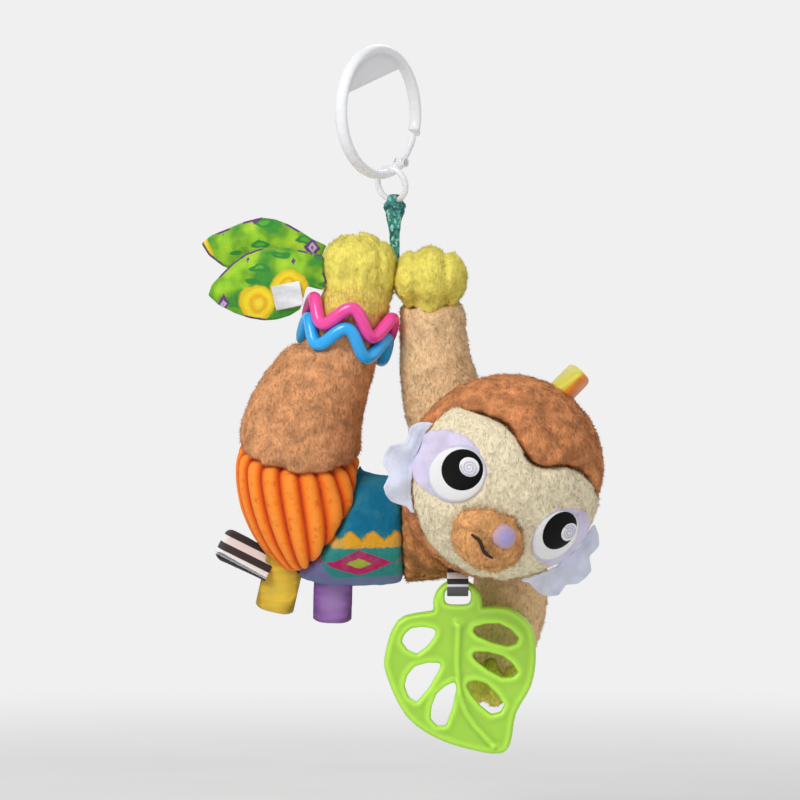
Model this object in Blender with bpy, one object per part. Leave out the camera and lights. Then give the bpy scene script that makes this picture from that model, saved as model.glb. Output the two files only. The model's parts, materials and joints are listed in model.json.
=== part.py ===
"""A plush sloth activity toy that hangs from a pram canopy by a ring clip.

+Z is up, +X is to the right as the face is seen, and the viewer stands at -Y.
The origin is where the canopy rim carries the ring: the lower edge of the ring's top web.
"""

import math

import bmesh
import bpy
from mathutils import Matrix, Vector

MM = 0.001

# Places are read in picture points, and this is the real size of one point.
POINT = 1.333 * MM
HANG_POINT = (246.1, 75.7)

# Fits
CLEARANCE = 0.3 * MM
SEAM_GAP = 0.3 * MM
MITT_GAP = 0.5 * MM
OVERRUN = 30 * MM

# Ring clip
RING_RADIUS = 33 * MM
RING_BAR = 5 * MM
RING_BAR_DEPTH = 7 * MM
RING_TURN = math.radians(54)
RING_LEAN = math.radians(17)
WEB_DROP = 15.3 * MM
WEB_THICKNESS = 2.6 * MM
GATE_START = math.radians(-34)
GATE_END = math.radians(-70)
GATE_BAR = 3.6 * MM
GATE_STUD = 2.2 * MM
PIN_RADIUS = 1.1 * MM
EYELET_RADIUS = 10 * MM
EYELET_BAR = 3.5 * MM
EYELET_DROP = 36.5 * MM

# Hanging ribbon
RIBBON_WIDTH = 12 * MM
RIBBON_FOOT_WIDTH = 5 * MM
RIBBON_THICKNESS = 1 * MM
RIBBON_LENGTH = 16 * MM
RIBBON_FOOT_LENGTH = 13 * MM
RIBBON_FOOT_THICKNESS = 2.4 * MM

# Depths from the ribbon's plane, towards the back
HEAD_DEPTH = -42 * MM
ARM_DEPTH = 5 * MM
WRIST_DEPTH = 6 * MM
STRAP_DEPTH = -22.5 * MM
FRONT_LEAF_DEPTH = -7 * MM
BACK_LEAF_DEPTH = 3 * MM

# Body tube, from the ankle round the rump to the chest: places, and radii at them
BODY_ROUTE = ((240.5, 152), (238, 161.3), (235.5, 170.7), (228, 183), (221, 198), (219, 211),
              (220, 225), (228, 236), (241, 239), (258, 239), (275, 236.5), (289, 229))
ANKLE_RADIUS = 17 * MM
CALF_RADIUS = 18.2 * MM
KNEE_RADIUS = 23.8 * MM
THIGH_RADIUS = 28.5 * MM
SEAT_RADIUS = 31 * MM
RUMP_RADIUS = 31.5 * MM
WAIST_RADIUS = 28 * MM
CHEST_RADIUS = 26 * MM
SHOULDER_RADIUS = 23 * MM
BODY_RADII = (ANKLE_RADIUS, ANKLE_RADIUS, CALF_RADIUS, KNEE_RADIUS, THIGH_RADIUS, SEAT_RADIUS,
              RUMP_RADIUS, RUMP_RADIUS, WAIST_RADIUS, CHEST_RADIUS, CHEST_RADIUS, SHOULDER_RADIUS)
# A seam lies in the plane through its left end, its right end and its nearest point.
LEG_SEAM = ((195.8, 207.6), (240, 211.6), (216, 218))
RUMP_SEAM = ((215.9, 257), (243.5, 213), (235.5, 240))
CHEST_SEAM = ((257.5, 262), (256, 226), (256.5, 244))

# Corduroy ribs
RIB_PITCH = 10 * MM
RIB_HEIGHT = 1.2 * MM

# Arms
RAISED_ARM_ROUTE = ((267.5, 159), (268, 169), (269.5, 182), (274, 199), (283, 220))
WRIST_RADIUS = 16.5 * MM
FOREARM_RADIUS = 18.5 * MM
ELBOW_RADIUS = 21 * MM
UPPER_ARM_RADIUS = 22 * MM
HANGING_ARM_ROUTE = ((296.5, 254), (296.5, 262), (295, 272), (292.5, 283), (291.5, 290))
HANGING_SHOULDER_RADIUS = 18.5 * MM
HANGING_WRIST_RADIUS = 16.5 * MM
ARM_SWING = math.radians(12)

# Mitts: places, half widths, half heights and half depths
FOOT_PLACE = (241, 142.5)
FOOT_SIZE = (18.5 * MM, 19 * MM, 17 * MM)
HAND_PLACE = (266.8, 147.3)
HAND_SIZE = (18.5 * MM, 19 * MM, 16.5 * MM)
LOW_HAND_PLACE = (290.5, 293)
LOW_HAND_SIZE = (17.5 * MM, 18 * MM, 16 * MM)
MITT_CREASE = 2.2 * MM
MITT_CREASE_WIDTH = 3.2 * MM
MITT_CREASE_SPACING = 11 * MM

# Head: a round-faced spheroid, rolled, and turned to the viewer's right
HEAD_PLACE = (293, 219)
HEAD_RADIUS = 50 * MM
HEAD_HALF_DEPTH = 35 * MM
HEAD_ROLL = math.radians(32.5)
HEAD_YAW = math.radians(15)
FACE_FRONT_DEPTH = 6 * MM
# The hairline's right half and the frill's outline, as shares of the head's radius
HAIRLINE_SHARES = ((0, 0.27), (0.12, 0.31), (0.28, 0.42), (0.45, 0.46), (0.62, 0.43), (0.8, 0.36),
                   (1.3, 0.3))
FRILL_SHARES = ((0.72, 0.1), (0.98, 0.09), (1.12, -0.05), (1.08, -0.19), (1.19, -0.3), (1.15, -0.48),
                (1.04, -0.54), (1.03, -0.67), (0.88, -0.75), (0.72, -0.71), (0.6, -0.72), (0.5, -0.3))
FRILL_THICKNESS = 3 * MM
FRILL_FORWARD = 10 * MM

# Face layers, each on the one below; places are across and up from the head's middle
LAYER = 0.7 * MM
PATCH_PLACE = (31 * MM, -8 * MM)
PATCH_SIZE = (16.5 * MM, 16 * MM)
WHITE_PLACE = (29 * MM, -9 * MM)
WHITE_SIZE = (11.4 * MM, 13.4 * MM)
IRIS_PLACE = (28.6 * MM, -7 * MM)
IRIS_SIZE = (9.2 * MM, 10.4 * MM)
GLINT_PLACE = (31 * MM, -6 * MM)
GLINT_SIZE = (4.4 * MM, 4.4 * MM)
MUZZLE_PLACE = (0 * MM, -26 * MM)
MUZZLE_SIZE = (19.3 * MM, 12 * MM, 16.7 * MM)
NOSE_PLACE = (1 * MM, -21.5 * MM)
NOSE_SIZE = (6 * MM, 4 * MM, 5.6 * MM)
SMILE_ROUTE = ((-9 * MM, -27.5 * MM), (-6.5 * MM, -31 * MM), (-2.5 * MM, -33 * MM), (2.5 * MM, -33.5 * MM))
SMILE_RADIUS = 0.7 * MM

# Ribbon tags: middle of the sewn end, middle of the fold, and width
HEAD_TAG = ((310.8, 191), (322, 181))
STRIPED_TAG = ((205, 251), (190, 243.5))
YELLOW_TAG = ((213.5, 252), (209.5, 269.5))
PURPLE_TAG = ((231.5, 256), (231, 273.5))
HEAD_TAG_WIDTH = 13 * MM
BODY_TAG_WIDTH = 19 * MM
TAG_THICKNESS = 0.9 * MM
TAG_GAP = 1.6 * MM
TAG_BELLY = 2.2 * MM
STRIPED_TAG_TURN = math.radians(52)
BODY_TAG_DEPTH = -3 * MM

# Printed leaves at the foot
BACK_LEAF = ((183, 134.6), (193, 129), (205, 125), (215, 127.5), (224, 133), (233, 138), (232, 147),
             (215, 147), (200, 145), (191, 143))
FRONT_LEAF = ((186, 153.4), (191, 145.5), (199.4, 138.4), (210, 135.7), (222, 137.5), (232, 141),
              (231.5, 148), (227, 152), (222, 156.5), (215.5, 161), (206.4, 162.7), (195.7, 160))
FRONT_LEAF_BASE = ((227, 151), (230, 141))
BACK_LEAF_BASE = ((229, 146), (230, 137))
LEAF_THICKNESS = 3 * MM
LEAF_ROOM = 1.2 * MM
LEAF_FLAP = math.radians(14)
LABEL_PLACE = (215, 153.6)
LABEL_SIZE = (14 * MM, 12 * MM, 0.8 * MM)
LABEL_TURN = math.radians(12)

# Zigzag rings on the ankle
ZIGZAG_RADIUS = 21.3 * MM
ZIGZAG_TUBE = 3.2 * MM
ZIGZAG_WAVES = 5
ZIGZAG_HEIGHT = 5.5 * MM
PINK_PLACE = (237.8, 162.2)
BLUE_PLACE = (235.8, 169.6)

# Teether and its strap
STRAP_TOP = (276.3, 249.5)
STRAP_WIDTH = 10.4 * MM
STRAP_THICKNESS = 1 * MM
LOOP_PLACE = (276.8, 265.2)
LUG_RADIUS = 12 * MM
LUG_HOLE_SIZE = (6.4 * MM, 4 * MM)
LUG_HOLE_RISE = 3.5 * MM
STRAP_LOOP_RADIUS = 5.2 * MM
TEETHER_THICKNESS = 8 * MM
TEETHER_EDGE = 2 * MM
TEETHER_LEAF = ((265, 268), (254.8, 271.4), (250.4, 283.4), (251, 291.5), (258, 306), (269.4, 314.3),
                (282.9, 318.6), (292.2, 319.7), (296, 315.9), (298, 305), (303.5, 295), (305.2, 284),
                (303.5, 273), (296.5, 267), (288.4, 266))
TEETHER_HOLES = (((256.5, 279), (260, 274), (267.5, 274), (268.5, 277), (262, 283.5)),
                 ((257.5, 295), (261, 288), (269.5, 286.5), (270, 289.5), (262, 301)),
                 ((267, 307), (269, 298), (275, 293.7), (276.4, 296), (272.5, 309.5)),
                 ((283, 273.5), (292, 272.3), (299, 277.5), (295, 280.7), (284, 277)),
                 ((283, 282.5), (293, 284), (298.7, 290), (293, 292), (283.5, 286)),
                 ((280.5, 293.5), (287, 294), (293.8, 302), (289, 305.5), (281.5, 298)))
MIDRIB_ROUTE = ((277, 272), (277, 294), (280, 305), (290.6, 317.5))
MIDRIB_RADIUS = 1.6 * MM

# Mesh fineness
MERGE_DISTANCE = 0.01 * MM
SLIVER_LENGTH = 0.005 * MM
PLANE_TOLERANCE = 0.001 * MM
JOINT_MARK = 5 * MM
TUBE_SIDES = 5
ROUND_SIDES = 40
HEAD_RINGS = 22


# Scene and materials

def clear_scene():
    for obj in list(bpy.data.objects):
        bpy.data.objects.remove(obj, do_unlink=True)


def new_collection(name, hidden=False):
    collection = bpy.data.collections.new(name)
    bpy.context.scene.collection.children.link(collection)
    collection.hide_render = hidden
    return collection


def plain_material(name, colour, roughness, metallic=0.0):
    material = bpy.data.materials.new(name)
    material.use_nodes = True
    shader = material.node_tree.nodes["Principled BSDF"]
    red, green, blue = (int(colour[i:i + 2], 16) / 255 for i in (1, 3, 5))
    shader.inputs["Base Color"].default_value = (red ** 2.2, green ** 2.2, blue ** 2.2, 1)
    shader.inputs["Roughness"].default_value = roughness
    shader.inputs["Metallic"].default_value = metallic
    material.diffuse_color = (red, green, blue, 1)
    return material


def dress(obj, colour, roughness=0.9):
    obj.data.materials.clear()
    obj.data.materials.append(plain_material(obj.name + "_finish", colour, roughness))
    return obj


def place(point, depth=0.0):
    """The real place of a picture point, at a depth behind the origin."""
    across = (point[0] - HANG_POINT[0]) * POINT
    up = (HANG_POINT[1] - point[1]) * POINT
    return Vector((across, depth, up))


# Meshes

def link(obj, collection):
    collection.objects.link(obj)
    return obj


def mesh_object(name, bm, collection):
    mesh = bpy.data.meshes.new(name)
    bm.normal_update()
    bm.to_mesh(mesh)
    bm.free()
    return link(bpy.data.objects.new(name, mesh), collection)


def smooth(obj, angle=math.radians(40)):
    obj.data.shade_smooth()
    obj.data.set_sharp_from_angle(angle=angle)
    return obj


def as_mesh(obj, collection):
    """The curve or modified object as a plain mesh in world space, under the same name."""
    bpy.context.view_layer.update()
    evaluated = obj.evaluated_get(bpy.context.evaluated_depsgraph_get())
    mesh = bpy.data.meshes.new_from_object(evaluated)
    mesh.transform(obj.matrix_world)
    bm = bmesh.new()
    bm.from_mesh(mesh)
    bmesh.ops.remove_doubles(bm, verts=bm.verts, dist=MERGE_DISTANCE)
    bmesh.ops.dissolve_degenerate(bm, edges=bm.edges, dist=SLIVER_LENGTH)
    loose = [edge for edge in bm.edges if edge.is_wire]
    bmesh.ops.delete(bm, geom=loose, context="EDGES")
    bmesh.ops.holes_fill(bm, edges=[edge for edge in bm.edges if edge.is_boundary], sides=0)
    bm.to_mesh(mesh)
    bm.free()
    name = obj.name
    bpy.data.objects.remove(obj, do_unlink=True)
    solid = bpy.data.objects.new(name, mesh)
    return link(solid, collection)


def face_out(obj):
    bm = bmesh.new()
    bm.from_mesh(obj.data)
    bmesh.ops.recalc_face_normals(bm, faces=bm.faces)
    if bm.calc_volume(signed=True) < 0:
        bmesh.ops.reverse_faces(bm, faces=bm.faces)
    bm.to_mesh(obj.data)
    bm.free()
    return obj


def tube(name, points, radii, collection, sides=TUBE_SIDES, steps=3, closed=False, straight=False):
    """A round tube along the points, with its own radius at each."""
    curve = bpy.data.curves.new(name, "CURVE")
    curve.dimensions = "3D"
    curve.bevel_depth = max(radii)
    curve.bevel_resolution = sides
    curve.use_fill_caps = not closed
    spline = curve.splines.new("POLY" if straight else "BEZIER")
    knots = spline.points if straight else spline.bezier_points
    knots.add(len(points) - 1)
    for knot, point, radius in zip(knots, points, radii):
        knot.co = (*point, 1) if straight else point
        knot.radius = radius / max(radii)
        if not straight:
            knot.handle_left_type = "AUTO"
            knot.handle_right_type = "AUTO"
    spline.use_cyclic_u = closed
    curve.resolution_u = steps
    obj = link(bpy.data.objects.new(name, curve), collection)
    return face_out(smooth(as_mesh(obj, collection)))


def slab(name, outline, thickness, collection, rounding=0.0, frame=Matrix.Identity(4)):
    """A flat piece cut to an outline in its own X and Z, as thick as given along its own Y."""
    bm = bmesh.new()
    ring = [bm.verts.new((x, -thickness / 2, z)) for x, z in outline]
    front = bm.faces.new(ring)
    grown = bmesh.ops.extrude_face_region(bm, geom=[front])
    back = [part for part in grown["geom"] if isinstance(part, bmesh.types.BMVert)]
    bmesh.ops.translate(bm, verts=back, vec=(0, thickness, 0))
    bmesh.ops.recalc_face_normals(bm, faces=bm.faces)
    if rounding:
        rims = [edge for edge in bm.edges if abs(edge.verts[0].co.y - edge.verts[1].co.y) < thickness / 2]
        bmesh.ops.bevel(bm, geom=rims, offset=rounding, segments=2, profile=0.5, affect="EDGES")
    bmesh.ops.transform(bm, matrix=frame, verts=bm.verts)
    return face_out(smooth(mesh_object(name, bm, collection)))


def ball(name, centre, size, collection, frame=Matrix.Identity(4), sides=28, rings=16):
    """An egg with its half sizes along X, Y and Z, and its poles up and down."""
    bm = bmesh.new()
    bmesh.ops.create_uvsphere(bm, u_segments=sides, v_segments=rings, radius=1)
    shape = Matrix.Translation(centre) @ frame @ Matrix.Diagonal((*size, 1))
    bmesh.ops.transform(bm, matrix=shape, verts=bm.verts)
    return face_out(smooth(mesh_object(name, bm, collection)))


def smooth_outline(points, steps=3):
    """Points on a closed round curve through the given ones."""
    count = len(points)
    result = []
    for i in range(count):
        before, start, end, after = (Vector(points[(i + k) % count]) for k in (-1, 0, 1, 2))
        for step in range(steps):
            t = step / steps
            blend = (2 * start + (end - before) * t + (2 * before - 5 * start + 4 * end - after) * t ** 2
                     + (3 * start - before - 3 * end + after) * t ** 3) / 2
            result.append(tuple(blend))
    return result


def copy_mesh(obj, name, collection, grow=0.0):
    """A copy of a solid, grown all round by a distance."""
    mesh = obj.data.copy()
    bm = bmesh.new()
    bm.from_mesh(mesh)
    bm.normal_update()
    moves = [vert.normal.copy() for vert in bm.verts]
    for vert, normal in zip(bm.verts, moves):
        vert.co += normal * grow
    bm.to_mesh(mesh)
    bm.free()
    return link(bpy.data.objects.new(name, mesh), collection)


def boolean(obj, tool, operation, collection):
    modifier = obj.modifiers.new(operation.lower(), "BOOLEAN")
    modifier.operation = operation
    modifier.object = tool
    modifier.solver = "EXACT"
    tool.hide_render = True
    tool.display_type = "WIRE"
    solid = as_mesh(obj, collection)
    return smooth(solid)


def largest_body(obj):
    """Keeps the one body of a cut soft piece and drops slivers that the cut left."""
    bm = bmesh.new()
    bm.from_mesh(obj.data)
    left = set(bm.faces)
    bodies = []
    while left:
        queue = [left.pop()]
        body = list(queue)
        while queue:
            for edge in queue.pop().edges:
                for face in edge.link_faces:
                    if face in left:
                        left.discard(face)
                        queue.append(face)
                        body.append(face)
        bodies.append(body)
    bodies.sort(key=lambda body: sum(face.calc_area() for face in body))
    spare = [face for body in bodies[:-1] for face in body]
    bmesh.ops.delete(bm, geom=spare, context="FACES")
    bm.to_mesh(obj.data)
    bm.free()
    return obj


def carve(obj, neighbours, collection, cutters, gap=CLEARANCE):
    """Cuts a piece back so that it seats on its neighbours with a gap."""
    for neighbour in neighbours:
        tool = copy_mesh(neighbour, "cut_" + obj.name + "_" + neighbour.name, cutters, gap)
        obj = boolean(obj, tool, "DIFFERENCE", collection)
    return largest_body(obj)


def carve_sweep(obj, mover, pivot, axis, angles, collection, cutters):
    """Cuts a piece back from everywhere that its moving neighbour reaches."""
    grown = copy_mesh(mover, "grown_" + mover.name, cutters, CLEARANCE)
    bm = bmesh.new()
    for angle in angles:
        turn = Matrix.Translation(pivot) @ Matrix.Rotation(angle, 4, axis) @ Matrix.Translation(-pivot)
        for vert in grown.data.vertices:
            bm.verts.new(turn @ vert.co)
    hull = bmesh.ops.convex_hull(bm, input=bm.verts)
    spare = [part for part in hull["geom_interior"] if isinstance(part, bmesh.types.BMVert)]
    bmesh.ops.delete(bm, geom=spare, context="VERTS")
    bpy.data.objects.remove(grown, do_unlink=True)
    tool = face_out(mesh_object("sweep_" + obj.name + "_" + mover.name, bm, cutters))
    return largest_body(boolean(obj, tool, "DIFFERENCE", collection))


def plane_of(seam, depth):
    """The point and normal of the plane through a seam's two ends and its nearest point."""
    left, right, near = seam
    a = place(left, depth)
    b = place(right, depth)
    c = place(near, depth - (b - a).length / 2)
    normal = (b - a).cross(c - a).normalized()
    return a, normal


def keep_side(obj, point, normal, collection):
    """Keeps the part of a solid on the normal's side of a plane, half a seam gap away."""
    bm = bmesh.new()
    bm.from_mesh(obj.data)
    everything = list(bm.verts) + list(bm.edges) + list(bm.faces)
    cut = bmesh.ops.bisect_plane(bm, geom=everything, dist=PLANE_TOLERANCE, plane_no=normal,
                                 plane_co=point + normal * SEAM_GAP / 2, clear_inner=True)
    edges = [part for part in cut["geom_cut"] if isinstance(part, bmesh.types.BMEdge)]
    bmesh.ops.holes_fill(bm, edges=edges, sides=0)
    bm.to_mesh(obj.data)
    bm.free()
    return obj


# Ring clip, in the ring's own frame: X across, Z up, Y along its axis

def ring_frame():
    turn = Matrix.Rotation(RING_TURN, 4, "Z") @ Matrix.Rotation(-RING_LEAN, 4, "Y")
    return turn @ Matrix.Translation((0, 0, -WEB_DROP))


def on_ring(angle, radius):
    return Vector((radius * math.cos(angle), 0, radius * math.sin(angle)))


def arc(start, end, radius, count):
    return [on_ring(start + (end - start) * i / (count - 1), radius) for i in range(count)]


def rod(name, centre, radius, length, collection, sides=20):
    """A round rod along the ring's axis."""
    bm = bmesh.new()
    bmesh.ops.create_cone(bm, cap_ends=True, segments=sides, radius1=radius, radius2=radius, depth=length)
    bmesh.ops.transform(bm, matrix=Matrix.Translation(centre) @ Matrix.Rotation(math.pi / 2, 4, "X"),
                        verts=bm.verts)
    return face_out(smooth(mesh_object(name, bm, collection)))


def widen(obj, factor):
    obj.data.transform(Matrix.Diagonal((1, factor, 1, 1)))
    return obj


def to_world(obj, frame):
    obj.data.transform(frame)
    return obj


def make_ring(parts, cutters):
    frame = ring_frame()
    mid_radius = RING_RADIUS - RING_BAR / 2
    pivot = on_ring(GATE_END, mid_radius)
    hub_radius = RING_BAR / 2 + CLEARANCE
    slot = GATE_BAR + 2 * CLEARANCE
    pin_end = RING_BAR_DEPTH + 2 * CLEARANCE

    points = arc(GATE_START, 2 * math.pi + GATE_END, mid_radius, 34)
    ring = tube("hook_ring", points, [RING_BAR / 2] * len(points), parts, sides=3, straight=True)
    widen(ring, RING_BAR_DEPTH / RING_BAR)
    web_angle = math.asin(WEB_DROP / mid_radius)
    web = [(p.x, p.z) for p in arc(web_angle, math.pi - web_angle, mid_radius, 16)]
    ring = boolean(ring, slab("web", web, WEB_THICKNESS, cutters), "UNION", parts)
    bar_radius = EYELET_RADIUS - EYELET_BAR / 2
    loop = [Vector((0, p.x, p.z - EYELET_DROP)) for p in arc(0, 2 * math.pi, bar_radius, 29)[:-1]]
    eyelet = tube("eyelet", loop, [EYELET_BAR / 2] * len(loop), cutters, sides=3, closed=True, straight=True)
    ring = boolean(ring, eyelet, "UNION", parts)
    ears = rod("ears", pivot, hub_radius, RING_BAR_DEPTH, cutters)
    ring = boolean(ring, ears, "UNION", parts)
    ring = boolean(ring, rod("slot", pivot, hub_radius + 2 * CLEARANCE, slot, cutters), "DIFFERENCE", parts)
    ring = boolean(ring, rod("bore", pivot, PIN_RADIUS + CLEARANCE, pin_end, cutters), "DIFFERENCE", parts)
    stud = on_ring(GATE_START, mid_radius + RING_BAR / 2)
    ring = boolean(ring, ball("stud", stud, [GATE_STUD] * 3, cutters, sides=12, rings=8), "UNION", parts)

    tip = GATE_START - (RING_BAR / 2 + CLEARANCE) / mid_radius
    sweep = arc(tip, GATE_END, mid_radius, 9)
    gate = tube("ring_gate", sweep, [GATE_BAR / 2] * len(sweep), parts, sides=3, straight=True)
    gate = boolean(gate, rod("hub", pivot, hub_radius - CLEARANCE, GATE_BAR, cutters), "UNION", parts)
    bore = rod("gate_bore", pivot, PIN_RADIUS + CLEARANCE, pin_end, cutters)
    gate = boolean(gate, bore, "DIFFERENCE", parts)
    pin = rod("gate_pin", pivot, PIN_RADIUS, RING_BAR_DEPTH, parts, sides=16)
    for piece in (ring, gate, pin):
        dress(to_world(piece, frame), "#f4f4f6", 0.3)
    return ring, gate, pin


def ribbon_bar():
    """The middle of the eyelet's lower bar, which the ribbon goes round."""
    drop = EYELET_DROP + EYELET_RADIUS - EYELET_BAR / 2
    return ring_frame() @ Vector((0, 0, -drop))


def toy_depth(depth=0.0):
    return ribbon_bar().y + depth


def make_ribbon(parts, cutters, ring):
    """A ribbon folded over the eyelet's lower bar, gathered there and drawn in at its foot."""
    bar = ribbon_bar()
    inner = EYELET_BAR / 2 + CLEARANCE
    outer = inner + RIBBON_THICKNESS
    rows = 8
    turns = [math.pi * i / 8 for i in range(9)]
    drops = [RIBBON_LENGTH * i / rows for i in range(1, rows + 1)]

    def draw_in(width, drop):
        return max(CLEARANCE, width - drop / 4) + (RIBBON_THICKNESS if width == outer else 0)

    right = [(draw_in(outer, drop), -drop) for drop in reversed(drops)]
    over = [(outer * math.cos(turn), outer * math.sin(turn)) for turn in turns]
    left = [(-draw_in(outer, drop), -drop) for drop in drops]
    back_left = [(-draw_in(inner, drop), -drop) for drop in reversed(drops)]
    under = [(inner * math.cos(turn), inner * math.sin(turn)) for turn in reversed(turns)]
    back_right = [(draw_in(inner, drop), -drop) for drop in drops]
    outline = right + over + left + back_left + under + back_right
    turn = Matrix.Translation(bar) @ Matrix.Rotation(RING_TURN, 4, "Z")
    ribbon = slab("hang_ribbon", outline, RIBBON_WIDTH, parts)
    for vert in ribbon.data.vertices:
        drop = -vert.co.z / RIBBON_LENGTH
        foot_share = RIBBON_FOOT_WIDTH / RIBBON_WIDTH
        opening = min(1, foot_share + max(0, drop) * 5)
        vert.co.y *= min(opening, 1 - (1 - foot_share) * max(0, drop))
    to_world(ribbon, turn)
    ribbon = carve(ribbon, [ring], parts, cutters)
    return dress(ribbon, "#2f8f8a")


def make_ribbon_foot(parts, cutters, mitts):
    """The ribbon's sewn foot, between the two mitts."""
    top = ribbon_bar() + Vector((0, 0, -RIBBON_LENGTH - CLEARANCE))
    half = RIBBON_FOOT_WIDTH / 2
    length = RIBBON_FOOT_LENGTH
    outline = [(-half, 0), (half, 0), (half, -length), (-half, -length)]
    turn = Matrix.Translation(top) @ Matrix.Rotation(RING_TURN - math.pi / 2, 4, "Z")
    foot = slab("ribbon_foot", outline, RIBBON_FOOT_THICKNESS, parts, frame=turn)
    return dress(carve(foot, mitts, parts, cutters), "#2f8f8a")


# Stuffed body, arms and mitts

def route(points, depth=0.0):
    return [place(point, toy_depth(depth)) for point in points]


def rib_profile(collection):
    """A unit circle with ribs, which gives the corduroy its wales."""
    ribs = round(2 * math.pi * RUMP_RADIUS / RIB_PITCH)
    count = ribs * 4
    curve = bpy.data.curves.new("rib_profile", "CURVE")
    spline = curve.splines.new("POLY")
    spline.points.add(count - 1)
    for i, point in enumerate(spline.points):
        angle = 2 * math.pi * i / count
        radius = RUMP_RADIUS + RIB_HEIGHT * (math.cos(ribs * angle) - 1) / 2
        point.co = (radius * math.cos(angle), radius * math.sin(angle), 0, 1)
    spline.use_cyclic_u = True
    profile = link(bpy.data.objects.new("rib_profile", curve), collection)
    profile.hide_render = True
    return profile


def ribbed_tube(name, points, radii, collection, cutters):
    curve = bpy.data.curves.new(name, "CURVE")
    curve.dimensions = "3D"
    curve.bevel_mode = "OBJECT"
    curve.bevel_object = rib_profile(cutters)
    curve.use_fill_caps = True
    spline = curve.splines.new("BEZIER")
    spline.bezier_points.add(len(points) - 1)
    for knot, point, radius in zip(spline.bezier_points, points, radii):
        knot.co = point
        knot.radius = radius / RUMP_RADIUS
        knot.handle_left_type = "AUTO"
        knot.handle_right_type = "AUTO"
    curve.resolution_u = 3
    obj = link(bpy.data.objects.new(name, curve), collection)
    return face_out(smooth(as_mesh(obj, collection)))


def limb(name, points, radii, collection):
    """A stuffed tube whose two ends are rounded off."""
    points = list(points)
    radii = list(radii)
    for at_start in (True, False):
        end, before = (points[0], points[1]) if at_start else (points[-1], points[-2])
        onward = (end - before).normalized()
        radius = radii[0] if at_start else radii[-1]
        for angle in (math.radians(35), math.radians(65), math.radians(84)):
            cap = end + onward * radius * math.sin(angle)
            points.insert(0 if at_start else len(points), cap)
            radii.insert(0 if at_start else len(radii), radius * math.cos(angle))
    return tube(name, points, radii, collection, sides=7, steps=2)


def make_body(parts, cutters):
    """One stuffed tube from the ankle to the shoulder, sewn from four cloths."""
    spine = route(BODY_ROUTE)
    seams = [plane_of(seam, toy_depth()) for seam in (LEG_SEAM, RUMP_SEAM, CHEST_SEAM)]
    order = [spine[0], spine[4], spine[8], spine[-1]]
    sides = []
    for (point, normal), behind in zip(seams, order):
        sides.append((point, normal if (behind - point).dot(normal) < 0 else -normal))
    leg = limb("leg", spine, BODY_RADII, parts)
    keep_side(leg, sides[0][0], -sides[0][1], parts)
    rump = ribbed_tube("corduroy_rump", spine[2:-1], BODY_RADII[2:-1], parts, cutters)
    keep_side(rump, *sides[0], parts)
    keep_side(rump, sides[1][0], -sides[1][1], parts)
    panel = limb("print_panel", spine, BODY_RADII, parts)
    keep_side(panel, *sides[1], parts)
    keep_side(panel, sides[2][0], -sides[2][1], parts)
    chest = limb("chest", spine, BODY_RADII, parts)
    keep_side(chest, *sides[2], parts)
    colours = ("#b77c4e", "#f57a1a", "#3c8f86", "#9a6438")
    pieces = []
    for piece, colour in zip((leg, rump, panel, chest), colours):
        pieces.append(dress(face_out(smooth(piece)), colour))
    return pieces


def mitt(name, point, size, creases, collection):
    """A stuffed mitt, pinched by sewn creases that run down its front and back."""
    centre = place(point, toy_depth())
    obj = ball(name, centre, size, collection, sides=24, rings=12)
    for vert in obj.data.vertices:
        offset = vert.co - centre
        for crease in creases:
            nearness = math.exp(-((offset.x - crease) / MITT_CREASE_WIDTH) ** 2)
            offset.y *= 1 - MITT_CREASE / size[1] * nearness
            offset.z *= 1 - MITT_CREASE / size[2] * nearness
        vert.co = centre + offset
    return dress(obj, "#f2dd4e")


def make_mitts(parts):
    half = MITT_CREASE_SPACING / 2
    foot = mitt("foot_mitt", FOOT_PLACE, FOOT_SIZE, (-half, half), parts)
    hand = mitt("raised_hand", HAND_PLACE, HAND_SIZE, (-half, half), parts)
    low = mitt("hanging_hand", LOW_HAND_PLACE, LOW_HAND_SIZE, (-half, half), parts)
    low.data.transform(Matrix.Translation((0, ARM_DEPTH, 0)))
    return foot, hand, low


def make_arms(parts):
    count = len(RAISED_ARM_ROUTE) - 1
    depths = [WRIST_DEPTH + (ARM_DEPTH - WRIST_DEPTH) * i / count for i in range(count + 1)]
    raised_route = [place(point, toy_depth(depth)) for point, depth in zip(RAISED_ARM_ROUTE, depths)]
    raised = limb("raised_arm", raised_route,
                  (WRIST_RADIUS, WRIST_RADIUS, FOREARM_RADIUS, ELBOW_RADIUS, UPPER_ARM_RADIUS), parts)
    radii = (HANGING_SHOULDER_RADIUS, HANGING_SHOULDER_RADIUS, HANGING_SHOULDER_RADIUS,
             HANGING_WRIST_RADIUS, HANGING_WRIST_RADIUS)
    hanging = limb("hanging_arm", route(HANGING_ARM_ROUTE, ARM_DEPTH), radii, parts)
    for arm in (raised, hanging):
        dress(arm, "#c9ab80")
    return raised, hanging


# Head, in its own frame: X across the face, Z up it, and the face looks along -Y

def head_frame():
    turn = Matrix.Rotation(HEAD_ROLL, 4, "Y") @ Matrix.Rotation(HEAD_YAW, 4, "Z")
    return Matrix.Translation(place(HEAD_PLACE, toy_depth(HEAD_DEPTH))) @ turn


def head_shape(name, grow, collection):
    size = (HEAD_RADIUS + grow, HEAD_RADIUS + grow, HEAD_HALF_DEPTH + grow)
    upright = Matrix.Rotation(math.pi / 2, 4, "X")
    return ball(name, Vector(), size, collection, frame=upright, sides=ROUND_SIDES, rings=HEAD_RINGS)


def face_front(place_on_face):
    """How far forward of the head's middle its surface lies at a place on the face."""
    share = (place_on_face[0] ** 2 + place_on_face[1] ** 2) / HEAD_RADIUS ** 2
    return HEAD_HALF_DEPTH * math.sqrt(max(0, 1 - share))


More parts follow.
